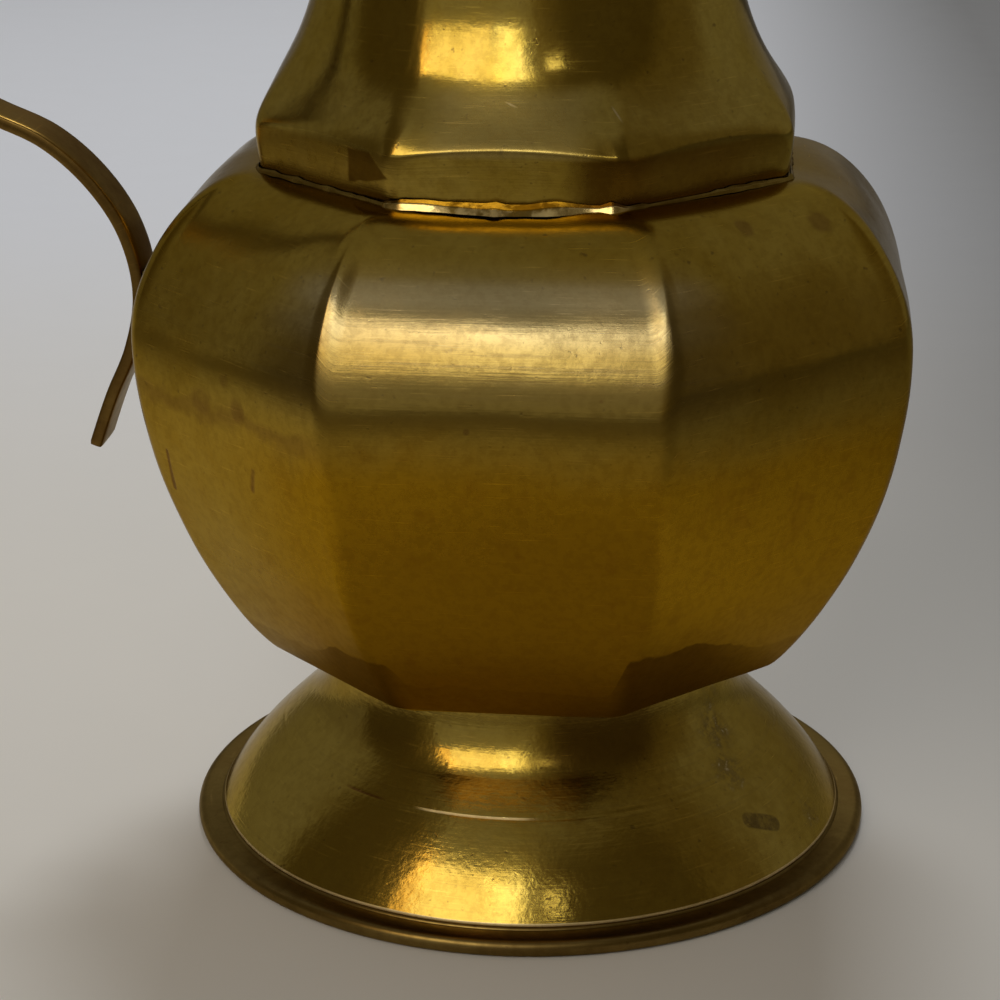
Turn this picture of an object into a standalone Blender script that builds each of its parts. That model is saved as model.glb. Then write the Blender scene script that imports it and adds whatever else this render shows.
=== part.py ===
"""Octagonal brass pitcher: spun foot, faceted belly and neck, pinched spout, strap handle.

Metres, +Z up. Every function below works about the pitcher's own upright axis: the spout
points along +X, the handle along -X, and facets of the belly face +X, -X, +Y and -Y. The
last lines carry the whole pitcher along X, so that the origin is the middle of the box
round spout and handle, on the level of the foot's resting face.
"""

import math

import bmesh
import bpy
import numpy as np

for old in list(bpy.data.objects):
    bpy.data.objects.remove(old, do_unlink=True)

MM = 0.001

# Sheet and joints
SHEET = 1.2 * MM              # wall of every raised or spun piece
JOINT_GAP = 0.3 * MM          # film of solder between two pieces

# Foot
RIM_RADIUS = 58.6 * MM        # outer edge of the foot ring
RIM_THICKNESS = 2.9 * MM
RIM_BORE = 49.6 * MM          # inner radius of the foot ring
RIM_LIP_HEIGHT = 2.0 * MM     # lip of the ring that centres the bell
BELL_RADIUS = 54.0 * MM       # lower edge of the bell
BELL_STEP = 0.4 * MM          # upright edge at the foot of the bell
BELL_HEIGHT = 30.7 * MM
BELL_DRAW = 26.0 * MM         # how far a plain cone would draw in over the bell's height
BELL_SWEEP = 0.25             # how far the bell's side leaves a plain cone
BELL_CONE_HEIGHT = 17.4 * MM  # height of the cone, up to the fillet of the stem
BELL_FILLET = 5.2 * MM        # height that the fillet takes to turn up into the stem
BELL_FLANGE = 5.0 * MM        # turned-in flange at the top of the bell
FOOT_FILLET = 2.4 * MM        # width of the fillet under the base pan

# Belly
PAN_INSET = 1.5 * MM          # side of the pan behind the belly's lower edge
PAN_SHOW = 0.8 * MM           # how far the pan reaches below the belly's lower edge
PAN_HEIGHT = 4.6 * MM         # whole height of the pan's upturned side
BOWL_BASE_HALF = 42.4 * MM    # half across flats at the bottom of the belly
BELLY_HALF = 62.5 * MM        # half across flats at the widest height
BOWL_DEPTH = 59.3 * MM        # bottom of the belly up to its widest height
SHOULDER_RISE = 22.0 * MM     # widest height up to the neck's seat
BOWL_LIFT = 0.94              # powers that shape the bowl's curve
BOWL_ROUND = 1.83
SHOULDER_LIFT = 1.67          # powers that shape the shoulder's curve
SHOULDER_ROUND = 0.93
CORNER_RADIUS = 5.0 * MM      # rounding of the eight upright corners

# Neck and mouth
NECK_SEAT_HALF = 42.0 * MM    # half across flats at the neck's lower edge
NECK_LIP_HEIGHT = 4.0 * MM    # lip of the belly inside the neck
COLLAR_FLARE = 1.0 * MM       # how far the collar's crease stands out beyond the seat
COLLAR_HEIGHT = 7.2 * MM
WAIST_DRAW = 10.6 * MM        # how far the waist draws in from the collar's crease
WAIST_RISE = 28.0 * MM        # crease up to the waist
WAIST_SWEEP = 0.63            # power that sets how soon the neck draws in
NECK_ROUND = 9.0 * MM         # how far the corners' radius grows from the crease to the waist
NECK_ROUND_RISE = 11.0 * MM   # height above the crease over which it grows
MOUTH_TIGHTEN = 6.0 * MM      # how far that radius shrinks again up to the mouth
MOUTH_SPREAD = 9.1 * MM       # how far the mouth stands out beyond the waist
MOUTH_RISE = 41.0 * MM        # waist up to the mouth
MOUTH_FLARE = 2.2             # power that sets how late the mouth flares
SPOUT_REACH = 15.0 * MM       # how far the spout stands out of the mouth
SPOUT_RISE = 4.0 * MM         # how far its tip stands above the mouth
SPOUT_START = 0.30            # share of the mouth's rise below the spout
SPOUT_HALF_ANGLE = math.radians(58.0)
BEAD_RADIUS = 1.5 * MM
BEAD_GAP = 0.4 * MM
SOLDER_WIDTH = 1.6 * MM       # bead of solder round the neck's lower edge
SOLDER_HEIGHT = 1.2 * MM

# Handle
STRAP_WIDTH = 10.2 * MM
STRAP_THICKNESS = 2.3 * MM
STRAP_EDGE = 0.4 * MM         # worn corner of the strap
BRAZE = 1.2 * MM              # thickness of braze under the strap
BRAZE_MARGIN = 0.8 * MM       # braze that shows beside the strap
BRAZE_LENGTH = 9.0 * MM
HANDLE_BOW = 49.0 * MM        # outermost point of the handle beyond the belly
HANDLE_TOUCH_DROP = 2.5 * MM  # where it touches, below the widest height
TAIL_OUT = 8.8 * MM
TAIL_DROP = 26.5 * MM
ARCH_OUT = 24.0 * MM          # lower arch of the handle, out from the belly
ARCH_RISE = 30.0 * MM
HEAD_DROP = 8.0 * MM          # top of the braze below the mouth
HEAD_LENGTH = 10.0 * MM       # end of the strap that lies on the neck
CREST_OUT = 25.0 * MM         # highest point of the handle, out from the mouth
CREST_RISE = 3.5 * MM         # highest point of the handle above the mouth

# Counts of mesh steps
CORNER_STEPS = 3
FLAT_STEPS = 2
ROUND_STEPS = 48
BOWL_RINGS = 8
SHOULDER_RINGS = 7
NECK_RINGS = 8
MOUTH_RINGS = 7
BELL_RINGS = 12
EDGE_STEPS = 4
BEAD_STEPS = 8
STRAP_STEPS = 5
PAD_STEPS = 4

# Heights and widths that follow from the stack of pieces
BELL_BASE_Z = RIM_THICKNESS + JOINT_GAP
BELL_TOP_Z = BELL_BASE_Z + BELL_HEIGHT
PAN_UNDER_Z = BELL_TOP_Z + JOINT_GAP
BELLY_BASE_Z = PAN_UNDER_Z + PAN_SHOW
BELLY_WIDE_Z = BELLY_BASE_Z + BOWL_DEPTH
SHOULDER_TOP_Z = BELLY_WIDE_Z + SHOULDER_RISE
NECK_BASE_Z = SHOULDER_TOP_Z + JOINT_GAP
CREASE_Z = NECK_BASE_Z + COLLAR_HEIGHT
WAIST_Z = CREASE_Z + WAIST_RISE
MOUTH_Z = WAIST_Z + MOUTH_RISE
NECK_LIP_HALF = NECK_SEAT_HALF - SHEET - JOINT_GAP
COLLAR_HALF = NECK_SEAT_HALF + COLLAR_FLARE
WAIST_HALF = COLLAR_HALF - WAIST_DRAW
MOUTH_HALF = WAIST_HALF + MOUTH_SPREAD
STRAP_STANDOFF = BRAZE + 2 * JOINT_GAP + STRAP_THICKNESS / 2


# Materials

def brass(name, color, roughness):
    """A metal with one colour, for the viewport and for plain renders."""
    material = bpy.data.materials.new(name)
    material.use_nodes = True
    shader = material.node_tree.nodes["Principled BSDF"]
    shader.inputs["Base Color"].default_value = (*color, 1.0)
    shader.inputs["Metallic"].default_value = 1.0
    shader.inputs["Roughness"].default_value = roughness
    material.diffuse_color = (*color, 1.0)
    material.metallic = 1.0
    material.roughness = roughness
    return material


# Profiles: half across flats, or radius, as a function of height

def bell_cone(z):
    """A cone from the bell's edge, bowed by one turn of a sine."""
    start = BELL_BASE_Z + BELL_STEP
    u = (z - start) / (BELL_TOP_Z - start)
    bow = BELL_SWEEP * math.sin(2 * math.pi * u) / (2 * math.pi)
    return BELL_RADIUS - BELL_DRAW * (u - bow)


def bell_radius(z):
    """The cone, and above it a fillet that turns up exponentially into the stem."""
    turn = BELL_BASE_Z + BELL_STEP + BELL_CONE_HEIGHT
    if z <= turn:
        return bell_cone(z)
    slope = (bell_cone(turn - MM) - bell_cone(turn)) / MM
    return bell_cone(turn) - slope * BELL_FILLET * (1 - math.exp((turn - z) / BELL_FILLET))


def bowl_point(angle):
    """Lower curve of the belly: angle 0 at the widest height, pi/2 at the bottom."""
    half = BOWL_BASE_HALF + (BELLY_HALF - BOWL_BASE_HALF) * math.cos(angle) ** BOWL_ROUND
    return half, BELLY_WIDE_Z - BOWL_DEPTH * math.sin(angle) ** BOWL_LIFT


def shoulder_point(angle):
    """Upper curve of the belly: angle 0 at the widest height, pi/2 at the neck's seat."""
    half = NECK_SEAT_HALF + (BELLY_HALF - NECK_SEAT_HALF) * math.cos(angle) ** SHOULDER_ROUND
    return half, BELLY_WIDE_Z + SHOULDER_RISE * math.sin(angle) ** SHOULDER_LIFT


def belly_half(z):
    """Half across flats of the belly at a height between its bottom and the seat."""
    if z < BELLY_WIDE_Z:
        share = min(1.0, (BELLY_WIDE_Z - z) / BOWL_DEPTH)
        return bowl_point(math.asin(share ** (1 / BOWL_LIFT)))[0]
    share = min(1.0, (z - BELLY_WIDE_Z) / SHOULDER_RISE)
    return shoulder_point(math.asin(share ** (1 / SHOULDER_LIFT)))[0]


def neck_corner(z):
    """Radius of the neck's upright corners: tight at the collar, broad round the waist."""
    grown = min(1.0, max(0.0, (z - CREASE_Z) / NECK_ROUND_RISE))
    risen = max(0.0, (z - WAIST_Z) / MOUTH_RISE)
    swell = 0.5 * (1 - math.cos(math.pi * grown))
    return CORNER_RADIUS + NECK_ROUND * swell - MOUTH_TIGHTEN * risen


def neck_half(z):
    """Half across flats of the neck: collar, waist drawn in by a cosine, flared mouth.

    Where the corners are rounder, the facets stand out a little, so that the corners reach
    as far as tight ones would.
    """
    if z < CREASE_Z:
        return NECK_SEAT_HALF + COLLAR_FLARE * (z - NECK_BASE_Z) / COLLAR_HEIGHT
    swell = (neck_corner(z) - CORNER_RADIUS) * (1 - math.cos(math.pi / 8))
    if z < WAIST_Z:
        u = (z - CREASE_Z) / WAIST_RISE
        swing = 0.5 * (1 + math.cos(math.pi * u ** WAIST_SWEEP))
        return WAIST_HALF + WAIST_DRAW * swing + swell
    u = (z - WAIST_Z) / MOUTH_RISE
    return WAIST_HALF + MOUTH_SPREAD * u ** MOUTH_FLARE + swell


# Rings of points

def octagon(half, z, corner=CORNER_RADIUS):
    """A level octagon with rounded corners, counter-clockwise, as an array of points."""
    centre = (half - corner) / math.cos(math.pi / 8)
    arcs = []
    for side in range(8):
        middle = math.pi / 8 + side * math.pi / 4
        angles = middle + np.linspace(-math.pi / 8, math.pi / 8, CORNER_STEPS + 1)
        x = centre * math.cos(middle) + corner * np.cos(angles)
        y = centre * math.sin(middle) + corner * np.sin(angles)
        arcs.append(np.stack([x, y, np.full_like(x, z)], axis=1))
    points = []
    for side in range(8):
        arc = arcs[side]
        following = arcs[(side + 1) % 8][0]
        points.extend(arc)
        for step in range(1, FLAT_STEPS):
            points.append(arc[-1] + (following - arc[-1]) * step / FLAT_STEPS)
    return np.array(points)


def with_spout(ring, z):
    """The ring drawn out along +X and raised there, more towards the mouth."""
    start = WAIST_Z + SPOUT_START * MOUTH_RISE
    share = max(0.0, (z - start) / (MOUTH_Z - start))
    growth = share * share
    angle = np.arctan2(ring[:, 1], ring[:, 0])
    turn = np.clip(np.abs(angle) / SPOUT_HALF_ANGLE, 0.0, 1.0)
    window = 0.5 * (1 + np.cos(np.pi * turn))
    shaped = ring.copy()
    shaped[:, 0] += SPOUT_REACH * growth * window
    shaped[:, 2] += SPOUT_RISE * growth * window
    return shaped


# Mesh helpers

def loft(mesh, rings, close=False):
    """Faces between each ring and the next, and back to the first if close is set."""
    loops = [[mesh.verts.new(point) for point in ring] for ring in rings]
    pairs = list(zip(loops, loops[1:]))
    if close:
        pairs.append((loops[-1], loops[0]))
    for lower, upper in pairs:
        for here, there in zip(range(-1, len(lower) - 1), range(len(lower))):
            mesh.faces.new((lower[here], lower[there], upper[there], upper[here]))
    return loops


def make_object(name, mesh, material, smooth_angle=35.0):
    """Writes the mesh into a new object, faces outward and smooth between sharp edges."""
    bmesh.ops.recalc_face_normals(mesh, faces=mesh.faces[:])
    data = bpy.data.meshes.new(name)
    mesh.to_mesh(data)
    mesh.free()
    data.materials.append(material)
    data.shade_smooth()
    data.set_sharp_from_angle(angle=math.radians(smooth_angle))
    item = bpy.data.objects.new(name, data)
    bpy.context.scene.collection.objects.link(item)
    item.parent = root
    return item


def outward(mesh):
    """Turns an open skin so that its faces look away from the upright axis."""
    bmesh.ops.recalc_face_normals(mesh, faces=mesh.faces[:])
    lean = 0.0
    for face in mesh.faces:
        middle = face.calc_center_median()
        lean += face.calc_area() * (face.normal.x * middle.x + face.normal.y * middle.y)
    if lean < 0:
        bmesh.ops.reverse_faces(mesh, faces=mesh.faces[:])


def make_shell(name, rings, material):
    """An open skin of rings, thickened inwards by the sheet."""
    mesh = bmesh.new()
    loft(mesh, rings)
    outward(mesh)
    data = bpy.data.meshes.new(name)
    mesh.to_mesh(data)
    mesh.free()
    data.materials.append(material)
    data.shade_smooth()
    data.set_sharp_from_angle(angle=math.radians(35.0))
    item = bpy.data.objects.new(name, data)
    bpy.context.scene.collection.objects.link(item)
    item.parent = root
    wall = item.modifiers.new("wall", "SOLIDIFY")
    wall.thickness = SHEET
    wall.offset = -1.0
    wall.use_even_offset = True
    return item


def make_turned(name, profile, material):
    """A closed profile of (radius, height) points, spun round the upright axis."""
    mesh = bmesh.new()
    verts = [mesh.verts.new((radius, 0.0, z)) for radius, z in profile]
    edges = [mesh.edges.new(pair) for pair in zip(verts, verts[1:] + verts[:1])]
    bmesh.ops.spin(
        mesh,
        geom=verts + edges,
        cent=(0.0, 0.0, 0.0),
        axis=(0.0, 0.0, 1.0),
        angle=2 * math.pi,
        steps=ROUND_STEPS,
        use_merge=True,
    )
    return make_object(name, mesh, material)


def circle(radius, z):
    """A level circle, counter-clockwise, as an array of points."""
    angles = np.linspace(0.0, 2 * math.pi, ROUND_STEPS, endpoint=False)
    return np.stack([radius * np.cos(angles), radius * np.sin(angles), np.full_like(angles, z)], axis=1)


# Foot

def make_foot_rim():
    """Flat ring with a rounded outer edge and a lip that centres the bell."""
    round_radius = RIM_THICKNESS / 2
    edge_centre = RIM_RADIUS - round_radius
    profile = [(RIM_BORE, 0.0)]
    for step in range(EDGE_STEPS + 1):
        angle = -math.pi / 2 + math.pi * step / EDGE_STEPS
        radius = edge_centre + round_radius * math.cos(angle)
        profile.append((radius, round_radius + round_radius * math.sin(angle)))
    lip_radius = BELL_RADIUS - SHEET - 1.5 * JOINT_GAP
    lip_top = RIM_THICKNESS + RIM_LIP_HEIGHT
    lip_top_radius = bell_radius(lip_top) - 1.3 * SHEET - 1.5 * JOINT_GAP
    profile.append((lip_radius, RIM_THICKNESS))
    profile.append((lip_radius, BELL_BASE_Z))
    profile.append((lip_top_radius, lip_top))
    profile.append((RIM_BORE, lip_top))
    return make_turned("foot_rim", profile, brass_dark)


def make_foot_bell():
    """Spun bell: an upright edge, a bowed cone, a steep stem and a flange under the pan."""
    rings = [circle(BELL_RADIUS, BELL_BASE_Z)]
    start = BELL_BASE_Z + BELL_STEP
    for z in np.linspace(start, BELL_TOP_Z, BELL_RINGS):
        rings.append(circle(bell_radius(z), z))
    rings.append(circle(bell_radius(BELL_TOP_Z) - BELL_FLANGE, BELL_TOP_Z))
    return make_shell("foot_bell", rings, brass_foot)


def make_foot_solder():
    """Fillet in the corner between the bell's stem and the base pan."""
    top = BELL_TOP_Z
    low = top - 0.7 * FOOT_FILLET
    clear = 1.6 * JOINT_GAP
    profile = [
        (bell_radius(top) + clear, top),
        (bell_radius(low) + clear, low),
        (bell_radius(low) + clear + 0.2 * FOOT_FILLET, low + 0.5 * (top - low)),
        (bell_radius(top) + clear + FOOT_FILLET, top),
    ]
    return make_turned("foot_solder", profile, solder)


# Belly

def make_base_pan():
    """Octagonal dish that closes the belly, its side turned up inside the belly wall."""
    side = BOWL_BASE_HALF - PAN_INSET
    floor_half = bell_radius(BELL_TOP_Z)
    top = PAN_UNDER_Z + PAN_HEIGHT
    inner_corner = CORNER_RADIUS - SHEET
    rings = [
        octagon(floor_half, PAN_UNDER_Z),
        octagon(side, PAN_UNDER_Z),
        octagon(side, top),
        octagon(side - SHEET, top, inner_corner),
        octagon(side - SHEET, PAN_UNDER_Z + SHEET, inner_corner),
        octagon(floor_half, PAN_UNDER_Z + SHEET),
    ]
    mesh = bmesh.new()
    loops = loft(mesh, rings)
    mesh.faces.new(loops[0])
    mesh.faces.new(loops[-1])
    return make_object("base_pan", mesh, brass_belly)


def make_belly():
    """Octagonal belly: bowl, shoulder, a level seat for the neck and a lip inside it."""
    rings = []
    for step in range(BOWL_RINGS):
        half, z = bowl_point(math.pi / 2 * (1 - step / BOWL_RINGS))
        rings.append(octagon(half, z))
    for step in range(SHOULDER_RINGS + 1):
        half, z = shoulder_point(math.pi / 2 * step / SHOULDER_RINGS)
        rings.append(octagon(half, z))
    lip_corner = CORNER_RADIUS - SHEET - JOINT_GAP
    rings.append(octagon(NECK_LIP_HALF, SHOULDER_TOP_Z, lip_corner))
    rings.append(octagon(NECK_LIP_HALF, SHOULDER_TOP_Z + NECK_LIP_HEIGHT, lip_corner))
    return make_shell("belly_shell", rings, brass_belly)


# Neck

def neck_rings():
    """Rings of the neck's outer face, from its seat to the mouth."""
    heights = list(np.linspace(NECK_BASE_Z, CREASE_Z, 3))
    for step in range(1, NECK_RINGS + 1):
        heights.append(CREASE_Z + WAIST_RISE * (step / NECK_RINGS) ** 1.3)
    for step in range(1, MOUTH_RINGS + 1):
        heights.append(WAIST_Z + MOUTH_RISE * step / MOUTH_RINGS)
    return [with_spout(octagon(neck_half(z), z, neck_corner(z)), z) for z in heights]


def make_neck():
    """Octagonal neck with its collar, waist, flared mouth and spout."""
    return make_shell("neck_shell", neck_rings(), brass_neck)


def make_neck_solder():
    """Bead of solder in the corner between the collar and the shoulder."""
    inner = NECK_SEAT_HALF + 1.4 * JOINT_GAP
    rings = [
        octagon(inner, NECK_BASE_Z),
        octagon(inner + SOLDER_WIDTH, NECK_BASE_Z),
        octagon(inner + 0.45 * SOLDER_WIDTH, NECK_BASE_Z + 0.45 * SOLDER_HEIGHT),
        octagon(inner + 0.1 * SOLDER_WIDTH, NECK_BASE_Z + SOLDER_HEIGHT),
    ]
    mesh = bmesh.new()
    loft(mesh, rings, close=True)
    return make_object("neck_solder", mesh, solder)


def make_mouth_bead():
    """Round wire that follows the edge of the mouth, a solder film away from the sheet."""
    below, edge = neck_rings()[-2:]
    rise = edge - below
    rise /= np.linalg.norm(rise, axis=1, keepdims=True)
    along = np.roll(edge, -1, axis=0) - np.roll(edge, 1, axis=0)
    side = np.cross(along, rise)
    side /= np.linalg.norm(side, axis=1, keepdims=True)
    up = np.cross(side, along)
    up /= np.linalg.norm(up, axis=1, keepdims=True)
    centre = edge - side * SHEET / 2 + up * (BEAD_RADIUS + BEAD_GAP)
    mesh = bmesh.new()
    rings = []
    for step in range(BEAD_STEPS):
        angle = 2 * math.pi * step / BEAD_STEPS
        rings.append(centre + BEAD_RADIUS * (math.cos(angle) * side + math.sin(angle) * up))
    loft(mesh, rings, close=True)
    return make_object("mouth_bead", mesh, brass_neck, smooth_angle=60.0)


# Handle

def smooth_path(points, steps):
    """A curve through all the points: cubic spans whose ends share a slope by chord length."""
    points = np.array(points)
    chord = np.linalg.norm(np.diff(points, axis=0), axis=1)
    slope = np.empty_like(points)
    span = (points[1:] - points[:-1]) / chord[:, None]
    weight = chord[1:, None] / (chord[1:] + chord[:-1])[:, None]
    slope[1:-1] = span[:-1] * weight + span[1:] * (1 - weight)
    slope[0] = 1.5 * span[0] - 0.5 * slope[1]
    slope[-1] = 1.5 * span[-1] - 0.5 * slope[-2]
    path = []
    for index, length in enumerate(chord):
        for u in np.arange(steps) / steps:
            path.append(
                (2 * u**3 - 3 * u**2 + 1) * points[index]
                + (u**3 - 2 * u**2 + u) * length * slope[index]
                + (3 * u**2 - 2 * u**3) * points[index + 1]
                + (u**3 - u**2) * length * slope[index + 1]
            )
    path.append(points[-1])
    return np.array(path)


def neck_back(z):
    """Centreline point of the strap beside the neck's back facet at a height."""
    slope = (neck_half(z + MM) - neck_half(z - MM)) / (2 * MM)
    return (-neck_half(z) - STRAP_STANDOFF * math.hypot(1.0, slope), z)


def handle_points():
    """Points (x, z) of the strap's centreline, from its tail up to the neck."""
    touch_x = -(BELLY_HALF + STRAP_STANDOFF)
    touch_z = BELLY_WIDE_Z - HANDLE_TOUCH_DROP
    arch_x = touch_x - ARCH_OUT
    arch_z = touch_z + ARCH_RISE
    bow_x = -(BELLY_HALF + HANDLE_BOW)
    crest_x = -(MOUTH_HALF + CREST_OUT)
    crest_z = MOUTH_Z + CREST_RISE
    span_x = crest_x - bow_x
    span_z = crest_z - arch_z
    head_top = MOUTH_Z - HEAD_DROP
    return [
        (touch_x - TAIL_OUT, touch_z - TAIL_DROP),
        (touch_x - 0.62 * TAIL_OUT, touch_z - 0.66 * TAIL_DROP),
        (touch_x - 0.22 * TAIL_OUT, touch_z - 0.36 * TAIL_DROP),
        (touch_x, touch_z),
        (touch_x - 0.10 * ARCH_OUT, touch_z + 0.38 * ARCH_RISE),
        (touch_x - 0.30 * ARCH_OUT, touch_z + 0.63 * ARCH_RISE),
        (touch_x - 0.62 * ARCH_OUT, touch_z + 0.86 * ARCH_RISE),
        (arch_x, arch_z),
        (bow_x + 0.44 * (arch_x - bow_x), arch_z + 0.08 * span_z),
        (bow_x + 0.06 * (arch_x - bow_x), arch_z + 0.26 * span_z),
        (bow_x + 0.02 * span_x, arch_z + 0.50 * span_z),
        (bow_x + 0.24 * span_x, arch_z + 0.78 * span_z),
        (bow_x + 0.58 * span_x, arch_z + 0.95 * span_z),
        (crest_x, crest_z),
        (crest_x + 0.52 * CREST_OUT, crest_z - 0.10 * CREST_OUT),
        neck_back(head_top),
        neck_back(head_top - HEAD_LENGTH),
    ]


def strap_frame():
    """Centreline and the normal that points towards the hand's side of the strap."""
    path = smooth_path(handle_points(), STRAP_STEPS)
    along = np.gradient(path, axis=0)
    along /= np.linalg.norm(along, axis=1, keepdims=True)
    normal = np.stack([along[:, 1], -along[:, 0]], axis=1)
    return path, normal


def make_handle():
    """Flat strap with worn corners, swept along the centreline and capped."""
    path, normal = strap_frame()
    half_width = STRAP_WIDTH / 2
    half_thick = STRAP_THICKNESS / 2
    section = []
    for width_sign, thick_sign in ((1, 1), (-1, 1), (-1, -1), (1, -1)):
        side = (width_sign * half_width, thick_sign * (half_thick - STRAP_EDGE))
        face = (width_sign * (half_width - STRAP_EDGE), thick_sign * half_thick)
        section.extend([side, face] if width_sign * thick_sign > 0 else [face, side])
    rings = []
    for centre, away in zip(path, normal):
        ring = []
        for across, out in section:
            ring.append((centre[0] + away[0] * out, across, centre[1] + away[1] * out))
        rings.append(np.array(ring))
    mesh = bmesh.new()
    loops = loft(mesh, rings)
    mesh.faces.new(loops[0])
    mesh.faces.new(loops[-1])
    return make_object("handle_strap", mesh, brass_handle)


def make_braze(name, wall_half, face, middle_z):
    """Pad of braze between the strap's face, as points (x, z), and the facet behind it."""
    order = np.argsort(face[:, 1])
    half = STRAP_WIDTH / 2 + BRAZE_MARGIN
    rings = []
    for z in np.linspace(middle_z - BRAZE_LENGTH / 2, middle_z + BRAZE_LENGTH / 2, PAD_STEPS + 1):
        outer = np.interp(z, face[order, 1], face[order, 0])
        inner = -(wall_half(z) + 1.2 * JOINT_GAP)
        rings.append(np.array([(outer, -half, z), (inner, -half, z), (inner, half, z), (outer, half, z)]))
    mesh = bmesh.new()
    loops = loft(mesh, rings)
    mesh.faces.new(loops[0])
    mesh.faces.new(loops[-1])
    return make_object(name, mesh, solder)


def make_handle_brazes():
    """The pad at the belly and the pad at the back of the neck."""
    path, normal = strap_frame()
    clear = STRAP_THICKNESS / 2 + 1.2 * JOINT_GAP
    bow = int(np.argmin(path[:, 0]))
    crest = int(np.argmax(path[:, 1]))
    belly_side = (path + normal * clear)[:bow]
    neck_side = (path - normal * clear)[crest:]
    make_braze("handle_belly_braze", belly_half, belly_side, BELLY_WIDE_Z - HANDLE_TOUCH_DROP)
    make_braze("handle_neck_braze", neck_half, neck_side, MOUTH_Z - HEAD_DROP - HEAD_LENGTH / 2)


root = bpy.data.objects.new("pitcher", None)
bpy.context.scene.collection.objects.link(root)

brass_foot = brass("brass_foot", (0.62, 0.45, 0.15), 0.30)
brass_dark = brass("brass_dark", (0.42, 0.28, 0.10), 0.38)
brass_belly = brass("brass_belly", (0.64, 0.46, 0.13), 0.26)
brass_neck = brass("brass_neck", (0.66, 0.48, 0.15), 0.22)
brass_handle = brass("brass_handle", (0.45, 0.29, 0.11), 0.36)
solder = brass("solder", (0.72, 0.58, 0.28), 0.34)

make_foot_rim()
make_foot_bell()
make_foot_solder()
make_base_pan()
make_belly()
make_neck()
make_neck_solder()
make_mouth_bead()
make_handle()
make_handle_brazes()

reach = [vert.co.x for piece in root.children for vert in piece.data.vertices]
root.location.x = -(min(reach) + max(reach)) / 2
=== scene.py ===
# %% [markdown]
# # An old brass pitcher on a table
# The real pitcher is made from sheet brass: a spun foot soldered to a turned ring, a belly and a
# neck raised with eight facets, and a flat strap for a handle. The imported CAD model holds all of
# its main sizes. Here each visible piece gets a finer surface, with the slight unevenness of
# hand work, and a brass made from noise, with marks of use placed on it.

# %% Load the frame
import math

import bpy
import numpy as np
from mathutils import Matrix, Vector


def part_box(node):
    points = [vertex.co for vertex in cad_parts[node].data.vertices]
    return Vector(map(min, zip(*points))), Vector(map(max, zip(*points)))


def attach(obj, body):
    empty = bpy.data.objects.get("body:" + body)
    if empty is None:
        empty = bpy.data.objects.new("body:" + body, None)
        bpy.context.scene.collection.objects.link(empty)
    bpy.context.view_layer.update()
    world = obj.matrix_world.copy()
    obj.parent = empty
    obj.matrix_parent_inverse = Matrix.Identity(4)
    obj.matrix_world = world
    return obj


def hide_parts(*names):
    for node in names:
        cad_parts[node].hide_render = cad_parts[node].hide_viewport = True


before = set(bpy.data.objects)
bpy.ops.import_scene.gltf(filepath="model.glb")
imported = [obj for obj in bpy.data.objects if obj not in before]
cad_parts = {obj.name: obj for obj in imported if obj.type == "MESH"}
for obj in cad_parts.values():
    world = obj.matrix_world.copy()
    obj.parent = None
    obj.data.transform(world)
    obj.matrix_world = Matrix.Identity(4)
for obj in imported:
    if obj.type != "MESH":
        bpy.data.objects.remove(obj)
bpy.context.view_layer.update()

# %% [markdown]
# ## Measures
# Every piece has to sit where the CAD says, so the heights and widths come from the boxes of
# the CAD nodes. The curves between them are the same few formulas that the CAD uses. All the
# shapes are worked out about the pitcher's own upright axis, which stands 25 mm from the origin.

# %% Measures from the frame
MM = 0.001
rim_low, rim_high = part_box("foot_rim")
bell_low, bell_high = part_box("foot_bell")
belly_low, belly_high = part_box("belly_shell")
neck_low, neck_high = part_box("neck_shell")
AXIS_X = (rim_low.x + rim_high.x) / 2
RIM_RADIUS = (rim_high.x - rim_low.x) / 2
BELL_RADIUS = (bell_high.x - bell_low.x) / 2
BELL_BASE_Z = bell_low.z
BELL_TOP_Z = bell_high.z
BELLY_BASE_Z = belly_low.z
BELLY_HALF = belly_high.y
NECK_BASE_Z = neck_low.z
COLLAR_HALF = neck_high.y
print("axis at x", round(AXIS_X / MM, 3), "mm; belly", round(2 * BELLY_HALF / MM, 1), "mm across")

# %% Measures of the sheet and of the curves
SHEET = 1.2 * MM
JOINT_GAP = 0.3 * MM
RIM_THICKNESS = 2.9 * MM
RIM_BORE = 49.6 * MM
RIM_LIP_HEIGHT = 2.0 * MM
BELL_STEP = 0.4 * MM
BELL_DRAW = 26.0 * MM
BELL_SWEEP = 0.25
BELL_CONE_HEIGHT = 17.4 * MM
BELL_FILLET = 5.2 * MM
BELL_FLANGE = 5.0 * MM
BOWL_BASE_HALF = 42.4 * MM
BOWL_DEPTH = 59.3 * MM
SHOULDER_RISE = 22.0 * MM
BOWL_LIFT, BOWL_ROUND = 0.94, 1.83
SHOULDER_LIFT, SHOULDER_ROUND = 1.67, 0.93
CORNER_RADIUS = 5.0 * MM
NECK_SEAT_HALF = 42.0 * MM
NECK_LIP_HEIGHT = 4.0 * MM
COLLAR_HEIGHT = 7.2 * MM
WAIST_RISE = 28.0 * MM
WAIST_HALF = 32.4 * MM
WAIST_SWEEP = 0.63
NECK_ROUND = 9.0 * MM
NECK_ROUND_RISE = 11.0 * MM
MOUTH_HALF = 41.5 * MM
MOUTH_RISE = 41.0 * MM
MOUTH_FLARE = 2.2
MOUTH_TIGHTEN = 6.0 * MM
SPOUT_REACH = 15.0 * MM
SPOUT_RISE = 4.0 * MM
SPOUT_START = 0.30
SPOUT_HALF_ANGLE = math.radians(58.0)
BEAD_RADIUS = 1.5 * MM
BEAD_GAP = 0.4 * MM
SOLDER_WIDTH = 1.6 * MM
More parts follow.
